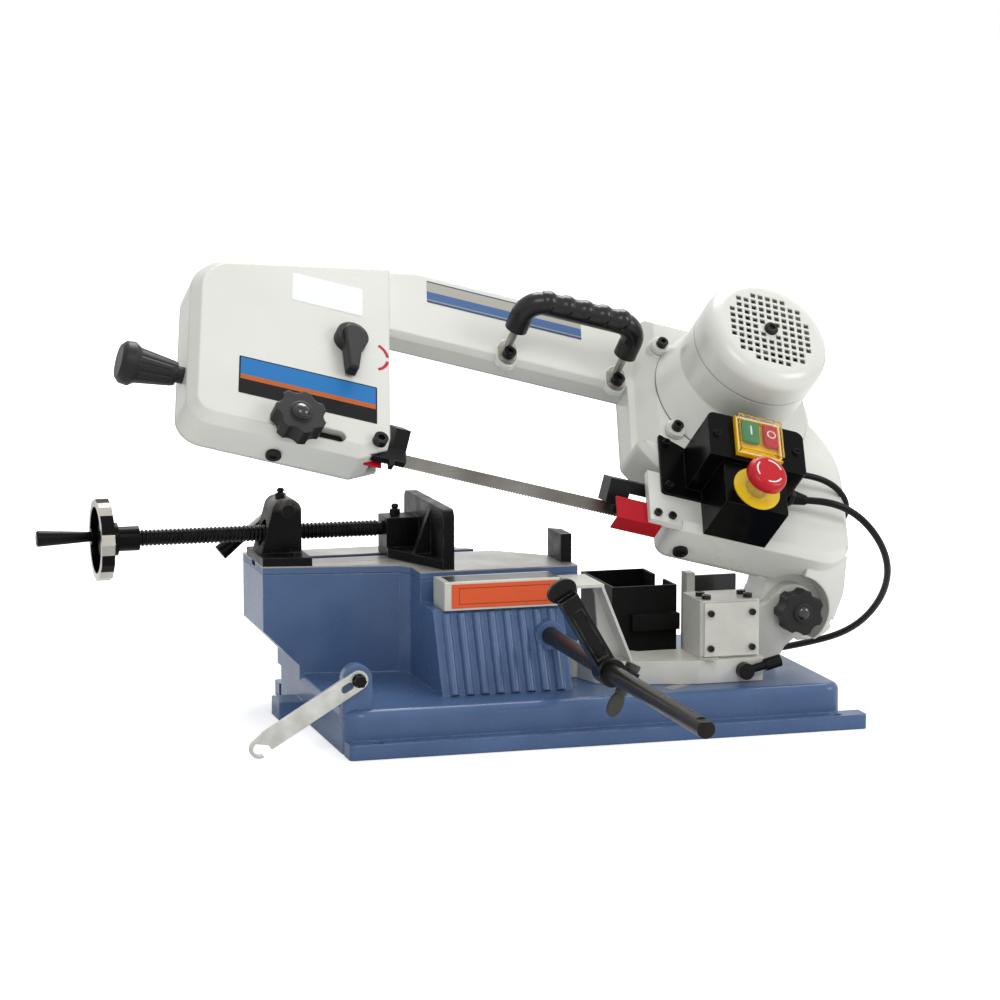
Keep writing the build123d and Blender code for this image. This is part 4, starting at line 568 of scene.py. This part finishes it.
# Handwheel: an iron wheel with a twelve-sided rim, chromed on every second side.
# The sides between, the web and the hub are black.
rim_sides = 12
rim_face = -442.6
web_radius = 32.6
wheel_axle = Matrix.Translation((0, 0.096, 0.174)) @ millimetres
wheel_chrome = finish("wheel_chrome", srgb(208, 205, 198), srgb(178, 174, 166), 0.24, specular=0.1, edge=1.2)
wheel_tree = wheel_chrome.node_tree
wheel_x, wheel_y, wheel_z = measured(wheel_chrome, wheel_axle)
wheel_angle = calculate(wheel_tree, "ARCTAN2", wheel_z, wheel_y)
side_pairs = calculate(wheel_tree, "DIVIDE", wheel_angle, 4 * pi / rim_sides)
pair_share = calculate(wheel_tree, "FRACT", calculate(wheel_tree, "ADD", side_pairs, rim_sides / 2 + 0.25))
second_side = calculate(wheel_tree, "GREATER_THAN", pair_share, 0.5)
behind_face = calculate(wheel_tree, "GREATER_THAN", wheel_x, rim_face)
black_side = calculate(wheel_tree, "MULTIPLY", second_side, behind_face)
wheel_square = calculate(wheel_tree, "POWER", wheel_z, 2)
wheel_square = calculate(wheel_tree, "MULTIPLY_ADD", wheel_y, wheel_y, wheel_square)
black_web = calculate(wheel_tree, "LESS_THAN", calculate(wheel_tree, "SQRT", wheel_square), web_radius)
black_wheel = calculate(wheel_tree, "MAXIMUM", black_side, black_web)
paint_over(wheel_chrome, black_wheel, srgb(8, 8, 8))
bare_metal(wheel_chrome, calculate(wheel_tree, "SUBTRACT", 1, black_wheel), 0.85)
dress(wheel_chrome, "handwheel")

# Star knobs, tension lever and crank handle: black moulded plastic, the crank's polished by hands.
# The mould left a fine leather grain, paler along the edges. Each knob has a glossy cap pressed in.
moulded_black = finish(
    "moulded_black",
    srgb(31, 31, 31),
    srgb(23, 23, 23),
    0.44,
    specular=0.3,
    grain=1500,
    bump=0.3,
    relief=0.15,
    cloud=30,
    edge=2,
    worn=srgb(70, 70, 70),
    wear=0.5,
)
dress(moulded_black, "pivot_knob", "guide_knob", "tension_lever")
crank_black = finish(
    "crank_black",
    srgb(15, 15, 14),
    srgb(10, 10, 10),
    0.28,
    specular=0.14,
    grain=900,
    edge=1,
)
dress(crank_black, "crank_handle")
cap_black = finish(
    "cap_black",
    srgb(20, 20, 20),
    srgb(15, 15, 15),
    0.14,
    coat=0.5,
    grain=900,
    bump=0.05,
    edge=0.5,
)
knob_cap = [
    (0, -1),
    (10, -1),
    (10, 0.8),
    (9.2, 1.4),
    (8.2, 0.6),
    (7.6, 2.4),
    (5.6, 4.2),
    (3, 5.1),
    (0, 5.4),
]
pivot_cap_size = Matrix.Scale(0.9, 4)
pivot_cap_place = millimetres @ Matrix.Translation((220, -77.3, 99)) @ upright @ pivot_cap_size
pivot_cap = turned_shape(knob_cap)
new_piece("pivot_knob_cap", pivot_cap, pivot_cap_place, cap_black, "hinge_knob")

# Length stop: a rod pressed into the base, an arm that clamps on it and a wing screw.
# The arm has a semi-gloss black coat with a painted highlight along its edges, the rod is blackened, and the
# screw is a dull grey-black.
stop_black = finish(
    "stop_black",
    srgb(15, 15, 15),
    srgb(10, 10, 10),
    0.22,
    coat=0.1,
    specular=0.14,
    grain=300,
    bump=0.12,
    cloud=20,
    edge=1.4,
    worn=srgb(130, 130, 128),
    wear=0.6,
)
rod_black = finish(
    "rod_black",
    srgb(36, 35, 33),
    srgb(26, 25, 24),
    0.32,
    specular=0.16,
    grain=600,
    bump=0.1,
    cloud=16,
    haze=0.14,
    edge=1,
    worn=srgb(110, 108, 104),
    wear=0.4,
)
wing_black = finish("wing_black", srgb(58, 57, 50), srgb(42, 41, 36), 0.5, grain=500, bump=0.3, edge=1.2)
dress(stop_black, "stop_arm")
dress(rod_black, "stop_rod")
dress(wing_black, "stop_wing_screw")

# Transport hook: a link punched from zinc plated strip, on a bolt in front of the base.
# Zinc shows a pale, slightly mottled grain. The mitre pointer is of the same strip, the bolt is black.
zinc = finish(
    "zinc",
    srgb(222, 222, 216),
    srgb(192, 192, 186),
    0.42,
    metallic=0.75,
    grain=220,
    bump=0.12,
    cloud=70,
    haze=0.2,
    edge=0.8,
)
dress(zinc, "transport_hook", "mitre_pointer")
dress(black_oxide, "hook_bolt")

# Turntable with its chute and bin plate, swivel block, cover and hinge bracket: white enamel castings.
# The mitre scale on the deck is anodised sheet with plain marks; the bracket's face behind the block has a
# painted shadow, a near-black field.
block_enamel = finish(
    "block_enamel",
    srgb(214, 214, 206),
    srgb(196, 195, 186),
    0.34,
    coat=0.25,
    grain=260,
    bump=0.14,
    cloud=24,
    edge=1,
    worn=srgb(150, 148, 140),
    wear=0.35,
)
dress(block_enamel, "turntable", "swivel_block", "swivel_cover")
dress(black_oxide, "mitre_lock_lever")
mark_step = radians(2.5)
mark_share = 0.16
mitre_axle = Matrix.Translation((0.004, -0.026, 0)) @ millimetres
scale_sheet = finish("scale_sheet", srgb(196, 196, 190), srgb(182, 182, 176), 0.4, metallic=0.7, edge=0.1)
scale_tree = scale_sheet.node_tree
scale_x, scale_y = measured(scale_sheet, mitre_axle)[:2]
scale_angle = calculate(scale_tree, "ARCTAN2", scale_y, scale_x)
scale_steps = calculate(scale_tree, "DIVIDE", scale_angle, mark_step)
scale_mark = calculate(scale_tree, "LESS_THAN", calculate(scale_tree, "FRACT", scale_steps), mark_share)
paint_over(scale_sheet, scale_mark, srgb(30, 30, 30))
dress(scale_sheet, "mitre_scale")
bracket_enamel = block_enamel.copy()
bracket_enamel.name = "bracket_enamel"
bracket_tree = bracket_enamel.node_tree
bracket_x, bracket_y, bracket_z = measured(bracket_enamel, millimetres)
# Painted shadow: a near-black field on the bracket's face, behind the block.
painted_shadow_foot = 54.5
painted_shadow_place = inside(bracket_tree, bracket_x, bracket_y, 129.1, 180, -13.4, -8.6)
above_foot = calculate(bracket_tree, "GREATER_THAN", bracket_z, painted_shadow_foot)
paint_over(bracket_enamel, calculate(bracket_tree, "MULTIPLY", painted_shadow_place, above_foot), srgb(20, 20, 20))
dress(bracket_enamel, "pivot_bracket")
pin_steel = finish(
    "pin_steel",
    srgb(168, 167, 162),
    srgb(130, 129, 124),
    0.36,
    metallic=1,
    cloud=40,
    edge=0.8,
)
dress(pin_steel, "hinge_pin", "turntable_pivot")

# Chip bin: a deep drawer moulded in matte black plastic, lifted by its front lip.
# It stands on the turntable's plate, and its edges are rubbed a little paler.
bin_plastic = finish(
    "bin_plastic",
    srgb(24, 24, 23),
    srgb(18, 18, 18),
    0.55,
    specular=0.14,
    grain=900,
    bump=0.3,
    cloud=26,
    edge=1,
    worn=srgb(64, 64, 62),
    wear=0.4,
)
dress(bin_plastic, "chip_bin")

# Bow: one aluminium casting in white enamel, closed at the back by a sheet cover.
# Its axes lean back at 45 degrees and are raised about the hinge, as the saw stands at rest.
raise_angle = radians(14.65)
along_bow = Vector((cos(raise_angle), 0, -sin(raise_angle)))
out_of_bow = Vector((sin(raise_angle), -1, cos(raise_angle))) / 2**0.5
up_bow = out_of_bow.cross(along_bow)
bow_origin = Vector((20.73, -26, 206.59)) / 1000
bow_axes = Matrix((along_bow, up_bow, out_of_bow)).transposed().to_4x4()
bow = Matrix.Translation(bow_origin) @ bow_axes @ millimetres


def on_bow(along, up, out):
    """Place on the bow in its own axes: along the blade, up across the frame and out of its front."""
    return bow @ Matrix.Translation((along, up, out))


# Its edges are painted a brighter white, as a painted highlight.
white_enamel = finish(
    "white_enamel",
    srgb(226, 227, 220),
    srgb(217, 218, 210),
    0.3,
    coat=0.35,
    grain=230,
    bump=0.1,
    cloud=9,
    edge=3,
    worn=srgb(238, 238, 232),
    wear=0.3,
)
dress(white_enamel, "bow_casting")
cover_enamel = finish(
    "cover_enamel",
    srgb(206, 207, 201),
    srgb(196, 197, 190),
    0.36,
    grain=300,
    bump=0.1,
    edge=1,
)
dress(cover_enamel, "rear_cover")

# Grip of the bow: a moulded black handle screwed to the head, fluted along its length.
# The flutes are shallow grooves round the barrel, which the flared end closes; painted shade darkens their
# hollows.
fluted_black = moulded_black.copy()
fluted_black.name = "fluted_black"
flute_tree = fluted_black.node_tree
flutes = 14
barrel_left, barrel_right = -461, -429
grip_along, grip_up, grip_out = measured(fluted_black, on_bow(0, 35.5, 8))
grip_angle = calculate(flute_tree, "ARCTAN2", grip_out, grip_up)
flute_wave = calculate(flute_tree, "SINE", calculate(flute_tree, "MULTIPLY", grip_angle, flutes))
flute_crest = spread(flute_tree, flute_wave, -0.9, 0.1)
barrel = within(flute_tree, grip_along, barrel_left, barrel_right)
flute_depth = calculate(flute_tree, "MULTIPLY", calculate(flute_tree, "SUBTRACT", 1, flute_crest), barrel)
# Painted shade: the grooves are darkened.
paint_over(fluted_black, calculate(flute_tree, "MULTIPLY", flute_depth, 0.6), srgb(14, 14, 14))
flute_bump = flute_tree.nodes.new("ShaderNodeBump")
flute_bump.invert = True
flute_bump.inputs["Strength"].default_value = 0.8
flute_bump.inputs["Distance"].default_value = 0.001
flute_tree.links.new(flute_depth, flute_bump.inputs["Height"])
flute_tree.links.new(flute_tree.nodes["Bump"].outputs["Normal"], flute_bump.inputs["Normal"])
flute_tree.links.new(flute_bump.outputs["Normal"], flute_tree.nodes["Principled BSDF"].inputs["Normal"])
dress(fluted_black, "grip_handle")

# Cap of the guide knob: a glossy black plastic disc, pressed into the star knob on the head.
# It is the same cap that the hinge knob has, at its full size.
guide_cap = turned_shape(knob_cap)
new_piece("guide_knob_cap", guide_cap, on_bow(-314, -13, 52), cap_black, "guide_clamp")

# Plates on the bow: foils printed in plain colours, glued on the head and the beam.
# The head has a white one and one with a blue, an orange and a black field; the beam has stripes.
# Two red arcs beside the tension lever show which way it turns.
foil_thickness = 0.4
foil_corner = 1
head_front = 30
beam_front = 15


def bow_plate(name, left, right, low, high, level, material):
    """Foil on the bow between two places along it and two up it, at a height above its front."""
    foil = plate_shape(right - left, high - low, foil_thickness, foil_corner)
    place = on_bow((left + right) / 2, (low + high) / 2, level)
    new_piece(name, foil, place, material, "bow")


def matte_foil(name, colour):
    """Foil in one plain colour."""
    return finish(name, colour, colour, 0.5, specular=0.08, grain=900, bump=0.04, edge=0.1)


def print_bands(foil, left, right, bands):
    """Prints bands of other colours on a foil, between two places along the bow."""
    foil_along, foil_up = measured(foil, bow)[:2]
    for low, high, band in bands:
        paint_over(foil, inside(foil.node_tree, foil_along, foil_up, left, right, low, high), band)


plain_foil = matte_foil("plain_foil", srgb(246, 247, 248))
bow_plate("head_plate_white", -318.5, -247, 143, 178, head_front, plain_foil)
sky_blue = srgb(48, 120, 186)
signal_orange = srgb(192, 100, 44)
rating_bands = (
    (29.4, 35, signal_orange),
    (35, 55.6, sky_blue),
)
rating_foil = matte_foil("rating_foil", srgb(24, 24, 26))
print_bands(rating_foil, -367.6, -233.4, rating_bands)
bow_plate("head_plate_fields", -369, -232, 12, 57, head_front, rating_foil)
stripe_navy = srgb(70, 84, 120)
stripe_blue = srgb(80, 108, 156)
stripe_grey = srgb(140, 152, 150)
beam_bands = (
    (223.2, 230, stripe_navy),
    (201, 211, stripe_blue),
    (199.2, 201, stripe_grey),
    (196, 199.2, stripe_navy),
)
stripe_foil = matte_foil("stripe_foil", srgb(176, 174, 162))
print_bands(stripe_foil, -180, 0, beam_bands)
bow_plate("beam_stripe", -174, -9, 197, 225, beam_front, stripe_foil)


def ring_arc(inner, outer, start, sweep, thickness):
    """Flat ring or part of one about its own middle."""
    shape = bmesh.new()
    corners = [(inner, 0, 0), (outer, 0, 0), (outer, 0, thickness), (inner, 0, thickness)]
    turn = Matrix.Rotation(start, 4, "Z")
    points = [shape.verts.new(turn @ Vector(corner)) for corner in corners]
    section = shape.faces.new(points)
    whole = sweep > 1.99 * pi
    bmesh.ops.spin(
        shape,
        geom=[section, *section.edges, *section.verts],
        cent=(0, 0, 0),
        axis=(0, 0, 1),
        angle=sweep,
        steps=40 if whole else 16,
        use_merge=whole,
    )
    return shape


def gloss_plastic(name, colour, shade):
    """Bright moulded plastic."""
    return finish(name, colour, shade, 0.26, specular=0.3, grain=900, bump=0.06, edge=0.8)


print_thickness = 0.3
mark_sweep = 56
mark_red = gloss_plastic("mark_red", srgb(196, 40, 62), srgb(186, 34, 56))
tension_axle = on_bow(-237.5, 95.5, head_front)
for side, start in (("upper", 9), ("lower", -65)):
    mark = ring_arc(15, 18, radians(start), radians(mark_sweep), print_thickness)
    new_piece("tension_mark_" + side, mark, tension_axle, mark_red, "bow")

# Blade: a welded loop of hardened strip with fine teeth, dull grey from rolling.
# It runs round both band wheels, and fine lines lie along the strip.
blade_steel = ground_steel("blade_steel", srgb(150, 147, 141), srgb(112, 109, 104), 0.36, "x", edge=0.2)
dress(blade_steel, "blade")

# Band wheels, gear, carriage and rotor: turned iron and steel, bare and lightly oiled.
# They run inside the castings, so that little of them shows.
turned_iron = finish(
    "turned_iron",
    srgb(140, 139, 136),
    srgb(108, 107, 104),
    0.4,
    metallic=1,
    cloud=60,
    edge=0.8,
)
dress(turned_iron, "idler_wheel", "drive_wheel", "idler_carriage", "drive_gear", "motor_rotor")

# Blade guides: black blocks with hardened rollers. A red enamelled guard of sheet is screwed below the
# right one, and a small red tab stands at the head beside the left one.
guide_coat = finish(
    "guide_coat",
    srgb(28, 28, 28),
    srgb(18, 18, 18),
    0.34,
    specular=0.16,
    grain=500,
    bump=0.15,
    edge=0.8,
    worn=srgb(150, 148, 144),
    wear=0.6,
)
dress(guide_coat, "guide_arm", "right_guide")
red_enamel = finish(
    "red_enamel",
    srgb(184, 10, 32),
    srgb(168, 8, 28),
    0.3,
    specular=0.2,
    grain=260,
    bump=0.1,
    edge=0.8,
)
dress(red_enamel, "blade_guard")
blade_tab = plate_shape(18, 9, 2, 0.5)
new_piece("blade_tab", blade_tab, on_bow(-230, -19.5, 10), red_enamel, "bow")

# Carry handle: a steel tube with a black rubber grip, bolted to the beam through flattened eyes.
# The rubber is smooth and a little glossy; the eyes are bare steel.
grip_rubber = finish(
    "grip_rubber",
    srgb(22, 22, 22),
    srgb(15, 15, 15),
    0.26,
    coat=0.15,
    specular=0.3,
    grain=200,
    bump=0.2,
    cloud=30,
    edge=1,
)
dress(grip_rubber, "carry_handle")
eye_steel = finish(
    "eye_steel",
    srgb(178, 176, 170),
    srgb(140, 138, 132),
    0.34,
    metallic=0.9,
    cloud=60,
    edge=0.8,
)
dress(eye_steel, "handle_lugs")

# Screws: blackened steel socket screws, on the bow and on the swivel block.
# They hold the carry handle, the motor's flange and the swivel cover, and are glossy from oil.
screw_black = finish(
    "screw_black",
    srgb(20, 20, 20),
    srgb(13, 13, 13),
    0.26,
    specular=0.3,
    grain=800,
    edge=0.6,
)
dress(screw_black, "bow_screws", "swivel_screws")

# Motor: an aluminium housing on the casting and a pressed fan cover, both in white enamel.
# A dark seam shows where the cover sits on the housing and where the housing meets the casting.
# One black socket screw in the middle holds the cover.
# The copy keeps the painted highlight along the edges.
motor_enamel = white_enamel.copy()
motor_enamel.name = "motor_enamel"
motor_out = measured(motor_enamel, bow)[2]
cover_seam = (94.6, 95.2)
casting_seam = (35.8, 36.6)
for low, high in (cover_seam, casting_seam):
    paint_over(motor_enamel, within(motor_enamel.node_tree, motor_out, low, high), srgb(96, 94, 86))
dress(motor_enamel, "motor_housing", "fan_cover")
socket_head = [(0, 0), (7, 0), (7, 3), (6, 4.2), (3.4, 4.2), (3, 2.2), (0, 2.2)]
fan_screw = turned_shape(socket_head)
new_piece("fan_screw", fan_screw, on_bow(142.1, 159.9, 131), screw_black, "bow")

# Control box: folded steel in satin black, with the switch above and the mushroom stop below.
# Its folded edges are painted a little paler, as a painted highlight.
box_black = finish(
    "box_black",
    srgb(9, 9, 9),
    srgb(6, 6, 6),
    0.22,
    specular=0.08,
    grain=700,
    bump=0.15,
    relief=0.15,
    cloud=12,
    haze=0.12,
    edge=1.2,
    worn=srgb(80, 80, 80),
    wear=0.4,
)
dress(box_black, "control_box")

# Switch: a yellow bezel with a green and a red key under a clear flap.
# The keys are marked with a plain bar and a plain ring.
yellow_plastic = gloss_plastic("yellow_plastic", srgb(248, 194, 18), srgb(240, 186, 14))
green_plastic = gloss_plastic("green_plastic", srgb(58, 136, 76), srgb(50, 124, 68))
red_plastic = gloss_plastic("red_plastic", srgb(200, 20, 34), srgb(186, 16, 30))
white_print = gloss_plastic("white_print", srgb(244, 244, 240), srgb(238, 238, 234))
dress(yellow_plastic, "switch_bezel")
clear_plastic = bpy.data.materials.new("clear_plastic")
clear_plastic.use_nodes = True
clear_tree = clear_plastic.node_tree
clear_shader = clear_tree.nodes["Principled BSDF"]
clear_shader.inputs["Base Color"].default_value = (0.95, 0.95, 0.93, 1)
clear_shader.inputs["Roughness"].default_value = 0.06
clear_shader.inputs["IOR"].default_value = 1.3
clear_shader.inputs["Transmission Weight"].default_value = 1
clear_bump = clear_tree.nodes.new("ShaderNodeBump")
clear_bump.inputs["Strength"].default_value = 0.03
clear_bump.inputs["Distance"].default_value = 0.0002
clear_tree.links.new(noise(clear_tree, 120, 2), clear_bump.inputs["Height"])
clear_tree.links.new(clear_bump.outputs["Normal"], clear_shader.inputs["Normal"])
dress(clear_plastic, "switch_flap")
switch_along = 134
bezel_back = 96
tab_thickness = 4
small_screw = [(0, 0), (2.4, 0), (2.4, 0.8), (1.6, 1.5), (0.5, 1.7), (0.4, 1.1), (0, 1.1)]
for side, tab_up in (("top", 68.2), ("bottom", 16.4)):
    tab = plate_shape(13, 5.6, tab_thickness, 1.5)
    tab_place = on_bow(switch_along, tab_up, bezel_back)
    new_piece("switch_tab_" + side, tab, tab_place, yellow_plastic, "bow")
    screw_place = on_bow(switch_along, tab_up, bezel_back + tab_thickness)
    new_piece("switch_screw_" + side, turned_shape(small_screw), screw_place, pin_steel, "bow")
switch_floor = plate_shape(40.8, 38.8, 1.5, 0.5)
floor_place = on_bow(switch_along, 42, bezel_back)
new_piece("switch_floor", switch_floor, floor_place, yellow_plastic, "bow")
key_up = 46.5
mark_up = 47.5
key_thickness = 3.4
key_front = 104
start_along, stop_along = 124.6, 146
keys = (
    ("start", start_along, 18, green_plastic, "green"),
    ("stop", stop_along, 15.6, red_plastic, "red_plastic"),
)
for key, key_along, key_width, key_plastic, key_slot in keys:
    key_shape = plate_shape(key_width, 26, key_thickness, 2)
    key_place = on_bow(key_along, key_up, key_front - key_thickness)
    cap = new_piece(key + "_key", key_shape, key_place, key_plastic, key)
    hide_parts(key + "_button")
start_bar = plate_shape(1.8, 11, print_thickness, 0.4)
start_place = on_bow(start_along, mark_up, key_front)
new_piece("start_mark", start_bar, start_place, white_print, "start")
stop_ring = ring_arc(3.4, 4.8, 0, 2 * pi, print_thickness)
stop_place = on_bow(stop_along, mark_up, key_front)
new_piece("stop_mark", stop_ring, stop_place, white_print, "stop")

# Mushroom stop: a red cap on a chromed collar, over a yellow disc.
# Three plain arcs on the cap show the way to turn it.
dress(red_plastic, "estop_button")
disc_front = 91.7
collar_chrome = finish("collar_chrome", srgb(248, 210, 12), srgb(240, 202, 10), 0.28, coat=0.3, edge=0.5)
collar_out = measured(collar_chrome, bow)[2]
collar = calculate(collar_chrome.node_tree, "GREATER_THAN", collar_out, disc_front)
paint_over(collar_chrome, collar, srgb(196, 190, 178))
bare_metal(collar_chrome, collar, 1)
dress(collar_chrome, "estop_base")
arc_count = 3
arc_place = on_bow(132, -13, 119.9)
for turn in range(arc_count):
    arc = ring_arc(12, 13.6, radians(360 / arc_count * turn + 20), radians(72), print_thickness)
    new_piece("turn_arc_" + str(turn + 1), arc, arc_place, white_print, "mushroom")

# Leads: round rubber sheathed cables. The motor cable loops from the box into the casting; the mains
# lead leaves the gland, hangs behind the bow, and lies on the bench to its coil and plug.
lead_rubber = finish(
    "lead_rubber",
    srgb(12, 12, 12),
    srgb(8, 8, 8),
    0.3,
    specular=0.16,
    grain=900,
    bump=0.1,
    edge=0.1,
)


def route(name, points, radius):
    """Smooth cable along control points, in metres, with closed ends."""
    line = bpy.data.curves.new(name, "CURVE")
    line.dimensions = "3D"
    spline = line.splines.new("NURBS")
    spline.points.add(len(points) - 1)
    for control, place in zip(spline.points, points):
        control.co = (*place, 1)
    spline.order_u = 3
    spline.use_endpoint_u = True
    spline.resolution_u = 6
    line.bevel_resolution = 5
    line.use_fill_caps = True
    line.materials.append(lead_rubber)
    cable = bpy.data.objects.new(name, line)
    scene.collection.objects.link(cable)
    middle = [point.co[:] for point in bpy.data.meshes.new_from_object(cable).vertices]
    line.bevel_depth = radius
    return cable, middle


cable_radius = 0.0032
cable_points = [
    (185, 52, 52),
    (212, 54, 54),
    (238, 55, 49),
    (259, 54, 36),
    (270, 51, 20),
    (271, 48, 4),
    (259, 46, -6),
]
cable_points = [bow @ Vector(point) for point in cable_points]
motor_cable = route("motor_lead", cable_points, cable_radius)[0]
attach(motor_cable, "bow")
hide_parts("motor_cable")

lead_radius = 0.0036
gland_end = bow @ Vector((205, 22, 52))
gland_profile = [(0, 0), (9, 0), (9.6, 1), (9.6, 4), (9, 5), (7.4, 5.4)]
for rib in range(5):
    rib_start = 6 + 3 * rib
    rib_radius = 7.2 - 0.5 * rib
    gland_profile += [(rib_radius, rib_start), (rib_radius, rib_start + 1.8)]
    gland_profile += [(rib_radius - 1.1, rib_start + 2.1), (rib_radius - 1.1, rib_start + 2.7)]
gland_profile += [(4.2, 21.5), (3.7, 22), (0, 22)]
gland_place = on_bow(185, 22, 52) @ Matrix.Rotation(radians(90), 4, "Y")
gland_shape = turned_shape(gland_profile)
gland = new_piece("lead_gland", gland_shape, gland_place, lead_rubber, "bow")
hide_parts("cable_gland")
after_gland = (0.258, -0.050, 0.204)
before_split = (0.312, 0.120, 0.031)
lead_split = Vector((0.295, 0.155, 0.020))
upper_points = [
    gland_end,
    after_gland,
    (0.290, -0.046, 0.188),
    (0.317, -0.035, 0.161),
    (0.336, -0.015, 0.130),
    (0.344, 0.015, 0.098),
    (0.341, 0.050, 0.068),
    (0.331, 0.085, 0.046),
    before_split,
    lead_split,
]


def solid_lead(name, points):
    """Lead along control points as a mesh tube; gives it and its middle line."""
    curve, middle = route(name + "_route", points, lead_radius)
    tube = bpy.data.objects.new(name, bpy.data.meshes.new_from_object(curve))
    scene.collection.objects.link(tube)
    bpy.data.objects.remove(curve)
    return tube, middle


upper_lead, upper_line = solid_lead("lead_on_bow", upper_points)
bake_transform(upper_lead)
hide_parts("mains_lead_upper")

# Coil: the rest of the lead lies on the bench, wound in five turns behind the base, and ends in the plug.
# Each turn moves over to the next place, so that the turns lie beside and on each other.
coil_middle = Vector((0.100, 0.248, 0))
coil_radius = 0.040
split_run = (lead_split - Vector(before_split)).normalized()
split_straight = 0.038
lower_points = [
    lead_split,
    lead_split + split_run * split_straight,
    (0.249, 0.225, 0.005),
    (0.210, 0.254, 0.0037),
    (0.168, 0.276, 0.0037),
    (0.120, 0.288, 0.0037),
]
turn_rows = [(0.0, 3.7), (7.3, 3.7), (-7.3, 3.8), (-3.7, 10.2), (3.7, 10.4), (0.0, 16.6)]
turn_steps = 14
for turn in range(5):
    start_row, end_row = turn_rows[turn], turn_rows[turn + 1]
    for step in range(turn_steps):
        share = step / turn_steps
        angle = pi / 2 + 2 * pi * share
        reach = coil_radius + (start_row[0] + (end_row[0] - start_row[0]) * share) / 1000
        height = (start_row[1] + (end_row[1] - start_row[1]) * share) / 1000
        lower_points.append(coil_middle + Vector((reach * cos(angle), reach * sin(angle), height)))
lower_points.append((0.100, 0.288, 0.0164))
lower_points.append((0.084, 0.288, 0.0155))
lower_points.append((0.070, 0.288, 0.0150))
lower_lead, lower_line = solid_lead("lead_on_bench", lower_points)
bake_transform(lower_lead)
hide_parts("mains_lead_lower", "mains_coil")

# Plug and tie: a plug moulded on the lead, with a ribbed sleeve and two nickel plated pins.
# A plastic band holds the turns of the coil together.
plug_profile = [(0, 16), (4.4, 16)]
for rib in range(6):
    rib_start = 17 + 4 * rib
    rib_radius = 5 + 0.4 * rib
    plug_profile += [(rib_radius, rib_start), (rib_radius, rib_start + 2.2)]
    plug_profile += [(rib_radius - 0.8, rib_start + 2.6), (rib_radius - 0.8, rib_start + 3.6)]
plug_profile += [(8.4, 42), (9, 50), (12.8, 55), (14.4, 60), (14.4, 80), (13.6, 83), (12.4, 84), (0, 84)]
plug_place = millimetres @ Matrix.Translation((100, 288, 15)) @ Matrix.Rotation(radians(-90), 4, "Y")
plug_shape = turned_shape(plug_profile)
plug = new_piece("lead_plug", plug_shape, plug_place, moulded_black, "base")
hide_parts("mains_plug")
nickel = finish("nickel", srgb(212, 208, 198), srgb(190, 186, 176), 0.24, metallic=1, edge=0.3)
pin_profile = [(0, 83), (2.4, 83), (2.4, 100), (1.8, 102), (0.8, 103), (0, 103)]
plug_pins = []
for pin_side in (-9.5, 9.5):
    pin_place = plug_place @ Matrix.Translation((0, pin_side, 0))
    pin_name = "plug_pin_" + str(len(plug_pins) + 1)
    pin = new_piece(pin_name, turned_shape(pin_profile, 16), pin_place, nickel, "base")
    plug_pins.append(pin)
tie_shape = ring_arc(10.9, 11.9, 0, 2 * pi, 6)
bmesh.ops.scale(tie_shape, vec=(0.88, 1, 1), verts=tie_shape.verts)
tie_place = millimetres @ Matrix.Translation((97, 208, 10.6)) @ Matrix.Rotation(radians(90), 4, "Y")
coil_tie = new_piece("coil_tie", tie_shape, tie_place, cap_black, "base")
lower_steps = zip(lower_line, lower_line[1:])
lower_length = sum((Vector(end) - Vector(start)).length for start, end in lower_steps)

low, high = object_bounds()
